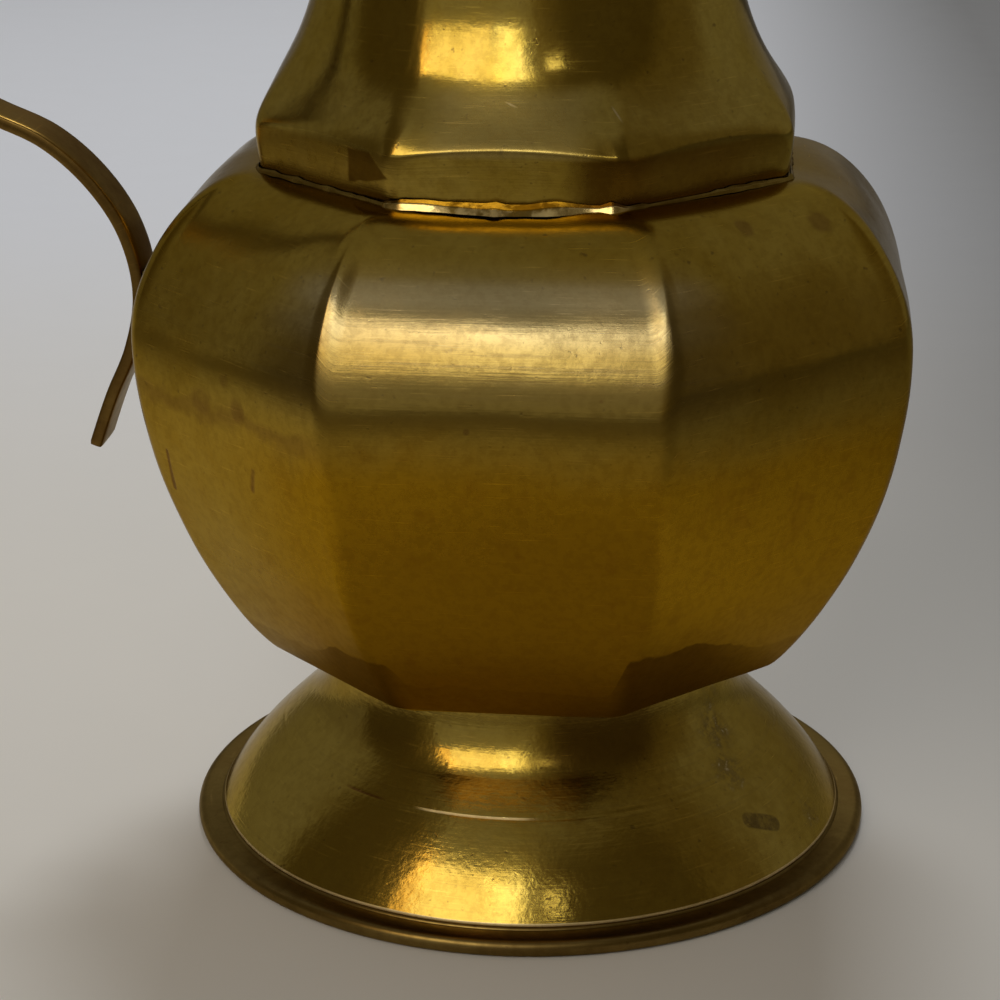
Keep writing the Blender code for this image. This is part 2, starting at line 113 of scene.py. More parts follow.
SOLDER_HEIGHT = 1.2 * MM
BELLY_WIDE_Z = BELLY_BASE_Z + BOWL_DEPTH
SHOULDER_TOP_Z = BELLY_WIDE_Z + SHOULDER_RISE
CREASE_Z = NECK_BASE_Z + COLLAR_HEIGHT
WAIST_Z = CREASE_Z + WAIST_RISE
MOUTH_Z = WAIST_Z + MOUTH_RISE
NECK_LIP_HALF = NECK_SEAT_HALF - SHEET - JOINT_GAP
print("widest at z", round(BELLY_WIDE_Z / MM, 1), "waist at z", round(WAIST_Z / MM, 1))

# %% [markdown]
# ## Camera
# The picture is taken from the pitcher's side, with the handle on the left, from a place turned
# about 5 degrees towards the spout. A long lens about 0.4 m away looks down at about 19 degrees.
# The camera belongs to the picture and not to the object, so it needs no body to ride on.

# %% Camera
CAMERA_AWAY = 418.5 * MM
CAMERA_HEIGHT = 202.0 * MM
CAMERA_AROUND = math.radians(4.91)
CAMERA_TURN = math.radians(5.62)
CAMERA_TILT = math.radians(90.0 - 19.22)
CAMERA_ROLL = math.radians(-0.16)
FOCAL_PIXELS = 2587.0
PICTURE_PIXELS = 1000.0
SENSOR_WIDTH = 36.0

eye = bpy.data.objects.new("camera", bpy.data.cameras.new("camera"))
bpy.context.scene.collection.objects.link(eye)
eye.data.sensor_width = SENSOR_WIDTH
eye.data.lens = SENSOR_WIDTH * FOCAL_PIXELS / PICTURE_PIXELS
eye.data.clip_start = 0.02
turn = Matrix.Rotation(CAMERA_TURN, 4, "Z") @ Matrix.Rotation(CAMERA_TILT, 4, "X")
eye.matrix_world = (
    Matrix.Translation((
        AXIS_X + CAMERA_AWAY * math.sin(CAMERA_AROUND),
        -CAMERA_AWAY * math.cos(CAMERA_AROUND),
        CAMERA_HEIGHT,
    ))
    @ turn
    @ Matrix.Rotation(CAMERA_ROLL, 4, "Z")
)
bpy.context.scene.camera = eye
bpy.context.scene.view_settings.view_transform = "Standard"
print("lens", round(eye.data.lens, 2), "mm, camera at", [round(v, 4) for v in eye.matrix_world.translation])

# %% [markdown]
# ## Shader maths
# A brass that looks old is mostly arithmetic on noise. Written with nodes by hand that becomes
# hard to read, so a small class wraps one socket and lets Python's own operators add the Math
# nodes. One method adds any other node: its settings first, then its inputs.

# %% Sockets that understand arithmetic
class Wire:
    """One output socket. Arithmetic on it adds Math nodes to the tree it belongs to."""

    def __init__(self, bench, socket):
        self.bench = bench
        self.socket = socket

    def math(self, operation, first, second=None):
        """A Math node with one or two inputs."""
        feeds = {0: first}
        if second is not None:
            feeds[1] = second
        return self.bench.node("ShaderNodeMath", {"operation": operation}, feeds)

    def __add__(self, other):
        return self.math("ADD", self, other)

    def __radd__(self, other):
        return self.math("ADD", other, self)

    def __sub__(self, other):
        return self.math("SUBTRACT", self, other)

    def __rsub__(self, other):
        return self.math("SUBTRACT", other, self)

    def __mul__(self, other):
        return self.math("MULTIPLY", self, other)

    def __pow__(self, other):
        return self.math("POWER", self, other)

    def __abs__(self):
        return self.math("ABSOLUTE", self)

    def most(self, other):
        """The greater of the two."""
        return self.math("MAXIMUM", self, other)

    def least(self, other):
        """The lesser of the two."""
        return self.math("MINIMUM", self, other)

    def between(self, low, high):
        """A smooth step: 0 at low, 1 at high. With low above high it falls instead."""
        settings = {"interpolation_type": "SMOOTHSTEP", "clamp": True}
        feeds = {"Value": self, "From Min": low, "From Max": high, "To Min": 0.0, "To Max": 1.0}
        if low > high:
            feeds.update({"From Min": high, "From Max": low, "To Min": 1.0, "To Max": 0.0})
        return self.bench.node("ShaderNodeMapRange", settings, feeds)

    def span(self, low, high):
        """The same smooth step, between two places given in millimetres."""
        return self.between(low * MM, high * MM)


class Bench:
    """A material or a world on the bench: its node tree, its shader, and ways to add nodes."""

    def __init__(self, owner):
        self.owner = owner
        owner.use_nodes = True
        self.tree = owner.node_tree
        self.shader = self.tree.nodes.get("Principled BSDF") or self.tree.nodes["Background"]

    def node(self, kind, settings=None, feeds=None, outlet=0):
        """Adds a node: its type, its settings, then a value or a wire for each socket."""
        made = self.tree.nodes.new(kind)
        for key, value in (settings or {}).items():
            setattr(made, key, value)
        for key, value in (feeds or {}).items():
            self.feed(made.inputs[key], value)
        return Wire(self, made.outputs[outlet])

    def feed(self, socket, value):
        """Joins a wire to a socket, or sets the socket's own value."""
        if isinstance(value, Wire):
            self.tree.links.new(value.socket, socket)
        elif socket.type == "RGBA" and len(value) == 3:
            socket.default_value = (*value, 1.0)
        else:
            socket.default_value = value

    def set(self, **feeds):
        """Feeds the shader's own sockets; an underscore stands for a space."""
        for key, value in feeds.items():
            self.feed(self.shader.inputs[key.replace("_", " ")], value)

    def place(self):
        """Object coordinates about the pitcher's own axis."""
        where = self.node("ShaderNodeTexCoord", outlet="Object")
        return self.node("ShaderNodeMapping", None, {"Vector": where, "Location": (-AXIS_X, 0.0, 0.0)})

    def axes(self, where):
        """The three numbers of a place or a direction."""
        return [self.node("ShaderNodeSeparateXYZ", None, {0: where}, outlet=axis) for axis in "XYZ"]

    def noise(self, where, scale, detail=3.0, roughness=0.5, distortion=0.0):
        """Fractal noise from 0 to 1: its fineness, its octaves and the weight of the finer ones."""
        feeds = {"Vector": where, "Scale": scale, "Detail": detail, "Roughness": roughness}
        return self.node("ShaderNodeTexNoise", None, {**feeds, "Distortion": distortion})

    def lines(self, around, along, detail, roughness):
        """Noise drawn out into lines on the piece's own UV map, which is in metres."""
        where = self.node("ShaderNodeUVMap", {"uv_map": "metres"})
        where = self.node("ShaderNodeMapping", None, {"Vector": where, "Scale": (around, along, 1.0)})
        return self.noise(where, 1.0, detail, roughness)

    def mix(self, share, first, second, blend="MIX"):
        """Mixes two colours by a share; other blends tint or darken the first one."""
        settings = {"data_type": "RGBA", "blend_type": blend}
        return self.node("ShaderNodeMix", settings, {0: share, 6: first, 7: second}, outlet=2)

    def bump(self, height, distance):
        """A normal tilted by a height, whose unit is a distance in metres."""
        return self.node("ShaderNodeBump", None, {"Height": height, "Distance": distance})

    def vector(self, operation, feeds, outlet=0):
        """A Vector Math node."""
        return self.node("ShaderNodeVectorMath", {"operation": operation}, feeds, outlet)

    def spot(self, middle, radius, soft, wobble):
        """1 within a radius of a point, falling to 0 over a soft edge that wobbles."""
        apart = self.vector("DISTANCE", {0: self.place(), 1: middle}, "Value")
        return (apart + wobble).between(radius + soft, radius)

    def stroke(self, start, end, width, wobble):
        """1 on the line between two points, falling to 0 at one width from it."""
        along = np.array(end, float) - np.array(start, float)
        length = float(np.linalg.norm(along))
        reach = self.vector("SUBTRACT", {0: self.place(), 1: start})
        share = self.vector("DOT_PRODUCT", {0: reach, 1: tuple(along / length**2)}, "Value")
        held = share.most(0.0).least(1.0)
        nearest = self.vector("SCALE", {0: tuple(along), "Scale": held})
        apart = self.vector("DISTANCE", {0: reach, 1: nearest}, "Value")
        return (apart + wobble).between(width, 0.25 * width)


print("bench ready")

# %% [markdown]
# ## Table and light
# One flat floor does for the table and for what lies behind it. It is warm white near the
# pitcher and cooler behind it. Painted shade makes it darker to the right and in front, as a
# painted shadow, and darker far off, where the brass reflects it. The light is one soft window on
# the left front, with a narrow orange edge, a warm part and a white part, and two lamps, a small
# one in front and one high up behind. Polished brass is mostly what it reflects, so the window's
# place was worked out from the highlights on the facets.

# %% Table
FLOOR_REACH = 6.0


def make_floor():
    """A flat square floor: warm white near by, cooler behind, with painted shade to the right, in front and
    far off.
    """
    mesh = bpy.data.meshes.new("floor")
    corners = [(FLOOR_REACH * x, FLOOR_REACH * y, 0.0) for x, y in ((-1, -1), (1, -1), (1, 1), (-1, 1))]
    mesh.from_pydata(corners, [], [(0, 1, 2, 3)])
    floor = bpy.data.objects.new("floor", mesh)
    bpy.context.scene.collection.objects.link(floor)
    bench = Bench(bpy.data.materials.new("table"))
    across, depth, _ = bench.axes(bench.place())
    grain = bench.noise(bench.place(), 60.0, 4.0)
    plain = bench.mix(depth.between(0.05, 0.50), (0.86, 0.84, 0.80), (0.86, 0.89, 0.97))
    # Painted shade: the floor is painted darker to the right of the pitcher and in front of it, as a painted
    # shadow.
    right = across.between(-0.05, 0.16) * (depth.between(-0.12, 0.30) * 0.42 + 0.35)
    right = right + across.between(0.10, 0.32) * 0.40
    front = depth.between(-0.10, -0.22) * 0.28
    plain = bench.mix((right + front).least(0.8), plain, (0.10, 0.095, 0.085))
    ahead = depth.least(0.0)
    away = (across * across + ahead * ahead) ** 0.5
    # Painted shade: the floor is painted darker far off, where the brass reflects it.
    far = away.between(0.16, 0.56) * depth.between(0.30, 0.05)
    plain = bench.mix(far, plain, (0.15, 0.125, 0.085))
    bench.set(Base_Color=bench.mix(grain * 0.06, plain, (0.6, 0.6, 0.6)), Roughness=0.8)
    mesh.materials.append(bench.owner)


make_floor()
print("floor at z = 0")

# %% Window light
WINDOW_AWAY = 1.7
WINDOW_RISES = (23, 46.5)


def soft_window(name, turns, rises, color, radiance):
    """An area light that fills these angles, seen from the belly.

    Turns run from the camera's side (0) towards the spout (positive), rises from the level.
    Its power is its radiance times pi times its area.
    """
    centre = np.array([AXIS_X, 0.0, 0.11])
    turn_mid = math.radians((turns[0] + turns[1]) / 2)
    rise_mid = math.radians((rises[0] + rises[1]) / 2)
    toward = np.array([
        math.sin(turn_mid) * math.cos(rise_mid),
        -math.cos(turn_mid) * math.cos(rise_mid),
        math.sin(rise_mid),
    ])
    lamp = bpy.data.lights.new(name, "AREA")
    lamp.shape = "RECTANGLE"
    lamp.size = 2 * WINDOW_AWAY * math.tan(math.radians(abs(turns[1] - turns[0])) / 2) * math.cos(rise_mid)
    lamp.size_y = 2 * WINDOW_AWAY * math.tan(math.radians(rises[1] - rises[0]) / 2)
    lamp.color = color
    lamp.energy = radiance * math.pi * lamp.size * lamp.size_y
    holder = bpy.data.objects.new(name, lamp)
    bpy.context.scene.collection.objects.link(holder)
    holder.location = centre + WINDOW_AWAY * toward
    side = np.array([math.cos(turn_mid), math.sin(turn_mid), 0.0])
    up = np.cross(toward, side)
    rows = np.stack([side, up, toward], axis=1)
    holder.rotation_euler = Matrix(rows.tolist()).to_euler()
    print(name, "is", round(lamp.size, 2), "by", round(lamp.size_y, 2), "m,", round(lamp.energy, 1), "W")


soft_window("window_edge", (-46, -41), WINDOW_RISES, (1.0, 0.62, 0.24), 2.2)
soft_window("window_warm", (-41, -11), WINDOW_RISES, (1.0, 0.90, 0.74), 2.25)
soft_window("window_white", (-11, 2), WINDOW_RISES, (1.0, 1.0, 1.0), 3.0)
soft_window("lamp_small", (11.5, 17.5), (34, 40), (1.0, 0.98, 0.92), 2.2)
soft_window("lamp_behind", (162, 196), (50, 66), (0.97, 0.99, 1.0), 12.0)

# %% [markdown]
# ## Room
# Polished brass shows the whole room. In the photograph the room is dark on both sides of the
# window, with sharp upright edges, and lighter to the sides and behind. The world repeats that,
# by the turn and the rise of a direction: a dim warm grey, a dark brown panel on each side, a
# weaker one farther right, and a faint glow round the window.

# %% Room
def make_room():
    """A dim warm world, dark panels beside the window and a glow round it."""
    room = bpy.data.worlds.new("room")
    bench = Bench(room)
    bpy.context.scene.world = room
    x, y, z = bench.axes(bench.node("ShaderNodeTexCoord", outlet="Generated"))
    turn = x.math("ARCTAN2", x, 0.0 - y) * (180 / math.pi)
    rise = z.math("ARCSINE", z) * (180 / math.pi)
    left = turn.between(-98.0, -92.0) * turn.between(-46.0, -51.0)
    right = turn.between(3.0, 9.0) * turn.between(80.0, 68.0)
    beside = turn.between(66.0, 80.0) * turn.between(106.0, 92.0)
    low = rise.between(68.0, 52.0)
    dark = (left + right) * low
    glow = turn.between(-62.0, -40.0) * turn.between(24.0, 2.0) * rise.between(76.0, 46.0)
    tint = bench.mix((dark + beside * low * 0.8).least(1.0), (1.0, 0.96, 0.91), (1.0, 0.80, 0.42))
    bench.feed(bench.shader.inputs["Color"], tint)
    strength = 0.205 - dark * 0.125 - beside * low * 0.075 + glow * 0.12
    bench.feed(bench.shader.inputs["Strength"], strength)


make_room()

# %% [markdown]
# ## Surfaces from grids
# Each piece is a grid of points: rows climb a profile and columns run round it. A shell closes
# on itself, outer face, lip and inner face in one loop of rows, so it is one sealed body. A
# signed volume that comes out positive proves that the faces look outwards.

# %% Grid to mesh
def make_piece(name, grid, material, round_rows=True, end_caps=False, sharp=40.0):
    """Quads between neighbouring points of a grid (rows, columns, 3); columns always close.

    The UV map "metres" holds the mean distance round and the mean distance along the rows.
    """
    rows, columns = grid.shape[:2]
    spans = rows if round_rows else rows - 1
    points = grid.reshape(-1, 3) + np.array([AXIS_X, 0.0, 0.0])
    row = np.arange(spans)[:, None]
    column = np.arange(columns)[None, :]
    above = (row + 1) % rows
    beside = (column + 1) % columns
    quads = np.stack(
        [row * columns + column, row * columns + beside, above * columns + beside, above * columns + column],
        axis=2,
    ).reshape(-1, 4)
    faces = quads.tolist()
    if end_caps:
        faces.append(list(range(columns))[::-1])
        faces.append(list(range((rows - 1) * columns, rows * columns)))
    mesh = bpy.data.meshes.new(name)
    mesh.from_pydata(points, [], faces)
    step_round = np.linalg.norm(grid - np.roll(grid, -1, axis=1), axis=2).mean(axis=0)
    step_along = np.linalg.norm(np.roll(grid, -1, axis=0) - grid, axis=2).mean(axis=1)
    across = np.concatenate([[0.0], np.cumsum(step_round)])
    along = np.concatenate([[0.0], np.cumsum(step_along)])
    flat = np.zeros((len(mesh.loops), 2), np.float32)
    corner_u = np.stack([across[column + 0 * row], across[column + 1 + 0 * row]], axis=2)
    corner_v = np.stack([along[row + 0 * column], along[row + 1 + 0 * column]], axis=2)
    us = corner_u[:, :, [0, 1, 1, 0]].reshape(-1)
    vs = corner_v[:, :, [0, 0, 1, 1]].reshape(-1)
    flat[: len(us), 0] = us
    flat[: len(vs), 1] = vs
    mesh.uv_layers.new(name="metres").data.foreach_set("uv", flat.ravel())
    mesh.materials.append(material)
    mesh.shade_smooth()
    mesh.set_sharp_from_angle(angle=math.radians(sharp))
    mesh.update()
    piece = bpy.data.objects.new(name, mesh)
    bpy.context.scene.collection.objects.link(piece)
    a, b, c, d = (grid.reshape(-1, 3)[quads[:, k]] for k in range(4))
    volume = (np.cross(b - a, c - a) * a).sum() / 6 + (np.cross(c - a, d - a) * a).sum() / 6
    print(f"{name}: {len(points)} points, {len(faces)} faces, {volume / MM**3:.0f} cubic mm")
    return piece


def stand(piece, node):
    """The piece rides on the pitcher's one body and stands for its CAD node, which is hidden."""
    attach(piece, "root")
    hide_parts(node)


# %% [markdown]
# ## Eight facets
# Raised facets are never flat. Each one is slightly pillowed across, and its rounded corners take
# up the rest of the turn. A column is either on a facet, at a share from -1 to 1 across it, or
# on a corner, at an angle round a small arc that meets both facets without a kink.

# %% Octagonal section
FLAT_STEPS = 20
CORNER_STEPS = 8
EIGHTH = math.tan(math.pi / 8)


def octagon_columns():
    """For each column: the facet's direction, the share across it and the share of the corner."""
    flat = np.linspace(-1.0, 1.0, FLAT_STEPS, endpoint=False)
    arc = np.linspace(0.0, 1.0, CORNER_STEPS, endpoint=False)
    across = np.concatenate([flat, np.ones(CORNER_STEPS)])
    rounding = np.concatenate([np.full(FLAT_STEPS, -1.0), arc])
    facing = np.repeat(np.arange(8) * math.pi / 4, FLAT_STEPS + CORNER_STEPS)
    return facing, np.tile(across, 8), np.tile(rounding, 8)


FACING, ACROSS, ROUNDING = octagon_columns()
TURNED = FACING + np.maximum(ROUNDING, 0.0) * math.pi / 4


def facet_lean(core, corner, pillow):
    """Angle by which a pillowed facet leans back at its edge."""
    lean = 0.0 * core
    for _ in range(8):
        lean = np.arctan2(2 * pillow, core * EIGHTH + corner * np.sin(lean))
    return lean


def octagon_grid(half, z, corner, pillow):
    """Rows of octagons from arrays of half width, height, corner radius and pillow height.

    A facet stands at half - corner + corner * cos(lean) + pillow * (1 - share**2), and a corner
    is an arc whose angle runs from lean to 45 degrees - lean. Facet and arc meet without a kink
    where tan(lean) = 2 * pillow / (core * tan(22.5) + corner * sin(lean)), found by repeating it.
    """
    half, z, corner, pillow = (np.asarray(v, float)[:, None] for v in (half, z, corner, pillow))
    core = half - corner
    lean = facet_lean(core, corner, pillow)
    angle = lean + ROUNDING * (math.pi / 4 - 2 * lean)
    on_flat = ROUNDING < 0
    out = np.where(
        on_flat, core + corner * np.cos(lean) + pillow * (1 - ACROSS**2), core + corner * np.cos(angle)
    )
    side = np.where(
        on_flat, ACROSS * (core * EIGHTH + corner * np.sin(lean)), core * EIGHTH + corner * np.sin(angle)
    )
    x = out * np.cos(FACING) - side * np.sin(FACING)
    y = out * np.sin(FACING) + side * np.cos(FACING)
    return np.stack([x, y, np.broadcast_to(z, x.shape)], axis=2)


# %% [markdown]
# ## Unevenness of hand work
# The hammer and the stake leave swells a few centimetres long and a tenth of a millimetre high.
# A sum of cosines in space, with seeded directions, gives that. It pushes a point along the
# surface's own normal, which the neighbouring points of the grid tell.

# %% Ripples
def ripples(points, seed, longest, shortest, height, count=14):
    """Sum of cosines cos(k . p + phase) with seeded wave vectors, scaled to a height."""
    draw = np.random.default_rng(seed)
    direction = draw.normal(size=(count, 3))
    direction /= np.linalg.norm(direction, axis=1, keepdims=True)
    length = np.exp(draw.uniform(math.log(shortest), math.log(longest), count))
    phase = draw.uniform(0, 2 * math.pi, count)
    waves = np.cos(points @ (direction * (2 * math.pi / length)[:, None]).T + phase)
    return height * waves.sum(axis=-1) / math.sqrt(count / 2)


def grid_normals(grid):
    """Normals of a grid whose columns close: the cross product of its two directions."""
    around = np.roll(grid, -1, axis=1) - np.roll(grid, 1, axis=1)
    normal = np.cross(around, np.gradient(grid, axis=0))
    return normal / np.maximum(np.linalg.norm(normal, axis=2, keepdims=True), 1e-12)


def hand_worked(grid, seed, swell=0.11 * MM, dent=0.02 * MM):
    """The grid pushed along its normals by long swells and short dents."""
    push = ripples(grid, seed, 48 * MM, 26 * MM, swell) + ripples(grid, seed + 1, 16 * MM, 8 * MM, dent)
    return grid + grid_normals(grid) * push[:, :, None]


# %% [markdown]
# ## Profiles
# A profile is a half width at each height. The bell is a cone bowed by one turn of a sine, the
# belly two power curves that meet at its widest height, and the neck a collar, a waist drawn in
# by a cosine and a flared mouth.

# %% Profile formulas
def bell_cone(z):
    """A cone from the bell's edge, bowed by one turn of a sine."""
    start = BELL_BASE_Z + BELL_STEP
    u = (z - start) / (BELL_TOP_Z - start)
    bow = BELL_SWEEP * np.sin(2 * np.pi * u) / (2 * np.pi)
    return BELL_RADIUS - BELL_DRAW * (u - bow)


def bell_radius(z):
    """The cone, and above it a fillet that turns up exponentially into the stem."""
    turn = BELL_BASE_Z + BELL_STEP + BELL_CONE_HEIGHT
    slope = (bell_cone(turn - MM) - bell_cone(turn)) / MM
    risen = np.maximum(z - turn, 0.0)
    stem = bell_cone(turn) - slope * BELL_FILLET * (1 - np.exp(-risen / BELL_FILLET))
    return np.where(z <= turn, bell_cone(z), stem)


def bowl_point(angle):
    """Lower curve of the belly: angle 0 at the widest height, pi/2 at the bottom."""
    half = BOWL_BASE_HALF + (BELLY_HALF - BOWL_BASE_HALF) * np.cos(angle) ** BOWL_ROUND
    return half, BELLY_WIDE_Z - BOWL_DEPTH * np.sin(angle) ** BOWL_LIFT


def shoulder_point(angle):
    """Upper curve of the belly: angle 0 at the widest height, pi/2 at the neck's seat."""
    half = NECK_SEAT_HALF + (BELLY_HALF - NECK_SEAT_HALF) * np.cos(angle) ** SHOULDER_ROUND
    return half, BELLY_WIDE_Z + SHOULDER_RISE * np.sin(angle) ** SHOULDER_LIFT


def neck_half(z):
    """Half across flats of the neck: collar, waist drawn in by a cosine, flared mouth."""
    collar = NECK_SEAT_HALF + (COLLAR_HALF - NECK_SEAT_HALF) * (z - NECK_BASE_Z) / COLLAR_HEIGHT
    u = np.clip((z - CREASE_Z) / WAIST_RISE, 0.0, 1.0)
    waist = WAIST_HALF + (COLLAR_HALF - WAIST_HALF) * 0.5 * (1 + np.cos(np.pi * u**WAIST_SWEEP))
    v = np.clip((z - WAIST_Z) / MOUTH_RISE, 0.0, 1.2)
    mouth = WAIST_HALF + (MOUTH_HALF - WAIST_HALF) * v**MOUTH_FLARE
    return np.where(z < CREASE_Z, collar, np.where(z < WAIST_Z, waist, mouth))


def neck_corner(z):
    """Radius of the neck's upright corners: tight at the collar, broad round the waist."""
    grown = np.clip((z - CREASE_Z) / NECK_ROUND_RISE, 0.0, 1.0)
    risen = np.maximum(0.0, (z - WAIST_Z) / MOUTH_RISE)
    return CORNER_RADIUS + NECK_ROUND * 0.5 * (1 - np.cos(np.pi * grown)) - MOUTH_TIGHTEN * risen


def corner_swell(z):
    """How far the CAD's facets stand out where the corners are rounder."""
    return (neck_corner(z) - CORNER_RADIUS) * (1 - math.cos(math.pi / 8))


def smooth_share(z, start, end):
    """A half cosine from 0 at the start to 1 at the end."""
    return 0.5 - 0.5 * np.cos(np.pi * np.clip((z - start) / (end - start), 0.0, 1.0))


def offset_profile(width, z, distance):
    """The profile moved sideways by a distance: inwards where the profile climbs."""
    d_width, d_z = np.gradient(width), np.gradient(z)
    length = np.hypot(d_width, d_z)
    return width - distance * d_z / length, z + distance * d_width / length


print("neck half at the waist", round(float(neck_half(np.array(WAIST_Z))) / MM, 2), "mm")

# %% [markdown]
# ## Brass
# Old brass has a polished ground, clouds of brown tarnish, fine brushing that follows the work,
# and pits. A share of tarnish drives the colour and the roughness together: where brass is
# brown it is also duller. Dark speckle and pale hairlines come last, over the marks.

# %% Aged brass
def aged_brass(name, bright, dull, smooth, rough, marks=None, seed=0.0, brush=5.0, waver=16.0):
    """Mixes a bright and a dull brass by noise; brush lines run round the piece on its chart.

    Brush and waver are heights in thousandths of a millimetre. The marks, if any, change the
    colour, the roughness and the height before they reach the shader.
    """
    bench = Bench(bpy.data.materials.new(name))
    where = bench.place()
    cloud = bench.noise(where, 26.0 + seed, 5.0, 0.55, 0.6)
    mottle = bench.noise(where, 190.0 + seed, 4.0, 0.6)
    lines = bench.lines(40.0, 1900.0, 3.0, 0.7)
    swell = bench.noise(where, 400.0, 3.0, 0.6)
    pits = bench.noise(where, 900.0, 2.0, 0.5).between(0.66, 0.78)
    tarnish = (cloud * 0.7 + mottle * 0.3).between(0.36, 0.68)
    speckle = bench.noise(where, 650.0, 4.0, 0.7).between(0.42, 0.62)
    hairs = bench.lines(110.0, 3000.0, 2.0, 0.6).between(0.62, 0.72)
    look = {
        "color": bench.mix(pits * 0.5, bench.mix(tarnish, bright, dull), (0.10, 0.055, 0.02)),
        "roughness": smooth + tarnish * (rough - smooth) + lines * 0.05,
        "height": lines * brush + swell * waver - pits * 8.0,
        "mottle": mottle,
        "cloud": cloud,
        "lines": lines,
    }
    if marks:
        marks(bench, look)
    look["color"] = bench.mix(speckle * 0.24, look["color"], (0.55, 0.48, 0.40), "MULTIPLY")
    look["color"] = bench.mix(hairs * 0.6, look["color"], (1.45, 1.45, 1.60), "MULTIPLY")
    look["roughness"] += speckle * 0.03
    look["roughness"] += hairs * 0.06
    bench.set(
        Base_Color=look["color"],
        Metallic=1.0,
        Roughness=look["roughness"].most(0.04).least(0.6),
        Specular_Tint=(0.70, 0.64, 0.52),
        Normal=bench.bump(look["height"], 1e-6),
    )
    return bench.owner


DARK_BROWN = (0.09, 0.055, 0.025)

# %% [markdown]
# ## Marks of use, and painted light
# Each piece has its own marks. The belly is ochre below and olive above, with a worn, brushed
# band at its widest height that carries a painted highlight in front, a brown border and upright
# scratches on the left, small dark spots, and a lower edge darkened by grime and painted shade,
# most near its corners. The neck has two fine scratches, a stained corner and red on the collar.
# The foot has a pitted stain, an oval spot, a scribed line, a painted highlight along its lower
# edge and painted shade on its stem.
# Their places are points in millimetres, on the surface or up to about 2 mm from it.

# %% Marks of each piece
def tint(look, share, color):
    """Turns the colour towards another one by a share."""
    look["color"] = share.bench.mix(share, look["color"], color)


def darkened(look, share, color=DARK_BROWN, dulling=0.12):
    """Stains the colour by a share, and dulls the surface where it is stained."""
    tint(look, share, color)
    look["roughness"] += share * dulling


def in_metres(point):
    """A point in metres from one in millimetres."""
    return tuple(value * MM for value in point)


BELLY_SCRATCHES = (
    ((-43.6, -42.6, 76.9), (-44.2, -40.6, 71.3), 0.6),
    ((-38.8, -47.9, 78.8), (-39.5, -45.3, 71.4), 0.45),
    ((-37.9, -48.3, 76.5), (-38.4, -47.0, 73.0), 0.9),
    ((-55.8, -29.4, 73.0), (-55.5, -27.3, 66.0), 0.7),
)
BELLY_SPOTS = (
    ((-40.1, -47.6, 85.8), 1.2, 0.35), ((-47.0, -40.7, 85.1), 1.6, 0.30), ((-42.7, -45.3, 89.8), 0.8, 0.30),
    ((35.3, -36.2, 113.3), 1.2, 0.50), ((46.7, -26.9, 112.2), 1.4, 0.45), ((55.0, -9.4, 109.1), 1.0, 0.45),
    ((33.5, -45.0, 63.0), 0.5, 0.60), ((-12.0, -62.3, 92.5), 0.3, 0.60), ((-4.0, -62.2, 88.0), 0.3, 0.50),
    ((15.5, -61.9, 93.0), 0.3, 0.50),
)


def belly_marks(bench, look):
    """Ochre below, a worn band with a painted highlight in front, a border, scratches, spots, and a lower
    edge darkened by grime and painted shade.
    """
    x, y, z = bench.axes(bench.place())
    wander = (look["cloud"] - 0.5) * (16 * MM)
    aside = x.span(-48, -26) * 0.65 + 0.35
    ragged = (look["mottle"] - 0.5) * (9 * MM) * x.span(-20, -32)
    ochre = (z + wander + ragged).span(90, 76) * aside
    tint(look, ochre, (0.365, 0.192, 0.006))
    tint(look, look["mottle"].between(0.50, 0.75) * ochre * 0.35, (0.27, 0.12, 0.006))
    look["roughness"] += ochre * 0.10
    look["roughness"] += z.span(62, 48) * 0.10
    front = y.span(-46, -60)
    worn = (z + wander * 0.3).span(86, 96) * z.span(107, 100) * (front * 0.85 + 0.15)
    tint(look, worn * 0.65, (0.27, 0.19, 0.065))
    # Painted highlight: the band is painted paler on the front facet, and brighter along a ridge in it,
    # where the window's reflection falls.
    highlight_band = z.span(98, 103) * z.span(112, 107) * front
    tint(look, highlight_band * 0.6, (0.45, 0.37, 0.20))
    highlight_ridge = z.span(103.5, 106) * z.span(109, 107) * front
    tint(look, highlight_ridge * 0.6, (0.66, 0.55, 0.31))
    side = x.span(-24, -30) * y.span(0, -10)
    border = z + wander * 0.5 + ragged * 0.7
    border = border.span(81, 83.5) * border.span(86, 84) * side
    tint(look, border * 0.45, (0.20, 0.10, 0.02))
    streaks = bench.lines(45.0, 900.0, 5.0, 0.7).between(0.50, 0.68)
    tint(look, worn * streaks * 0.35, (0.26, 0.18, 0.07))
    look["roughness"] += worn * (0.04 + streaks * 0.07)
    look["height"] += worn * look["lines"] * 10.0
    wobble = (look["mottle"] - 0.5) * (1.2 * MM)
    rusty = (0.17, 0.075, 0.02)
    for start, end, width in BELLY_SCRATCHES:
        line = bench.stroke(in_metres(start), in_metres(end), width * MM, wobble * 0.5)
        darkened(look, line * 0.85, rusty)
        look["height"] -= line * 30.0
    for middle, size, share in BELLY_SPOTS:
        mark = bench.spot(in_metres(middle), size * MM, size * 0.9 * MM, wobble * size * 2.0)
        darkened(look, mark * share, rusty)
    # Grime and painted shade: the belly's lower edge is darkened, most near its front corners, where shade
    # falls under the bowl.
    left = x.span(-32, -27) * x.span(-15, -19)
    right = x.span(16, 20) * x.span(42, 28)
    ahead = y.span(-5, -15)
    edge = z + wander * 0.25 + wobble * 2.6 - (left * 4.5 + right * 7.5) * ahead * MM
    grime_and_shade = edge.span(41.4, 40.8) * ((left * 0.45 + right * 0.58) * ahead + 0.24)
    darkened(look, grime_and_shade, (0.13, 0.052, 0.002), 0.16)


NECK_SCRATCHES = (
    ((-3.0, -38.0, 133.0), (4.0, -39.0, 129.5), 0.18),
    ((15.0, -37.0, 131.5), (17.0, -38.5, 128.5), 0.25),
)


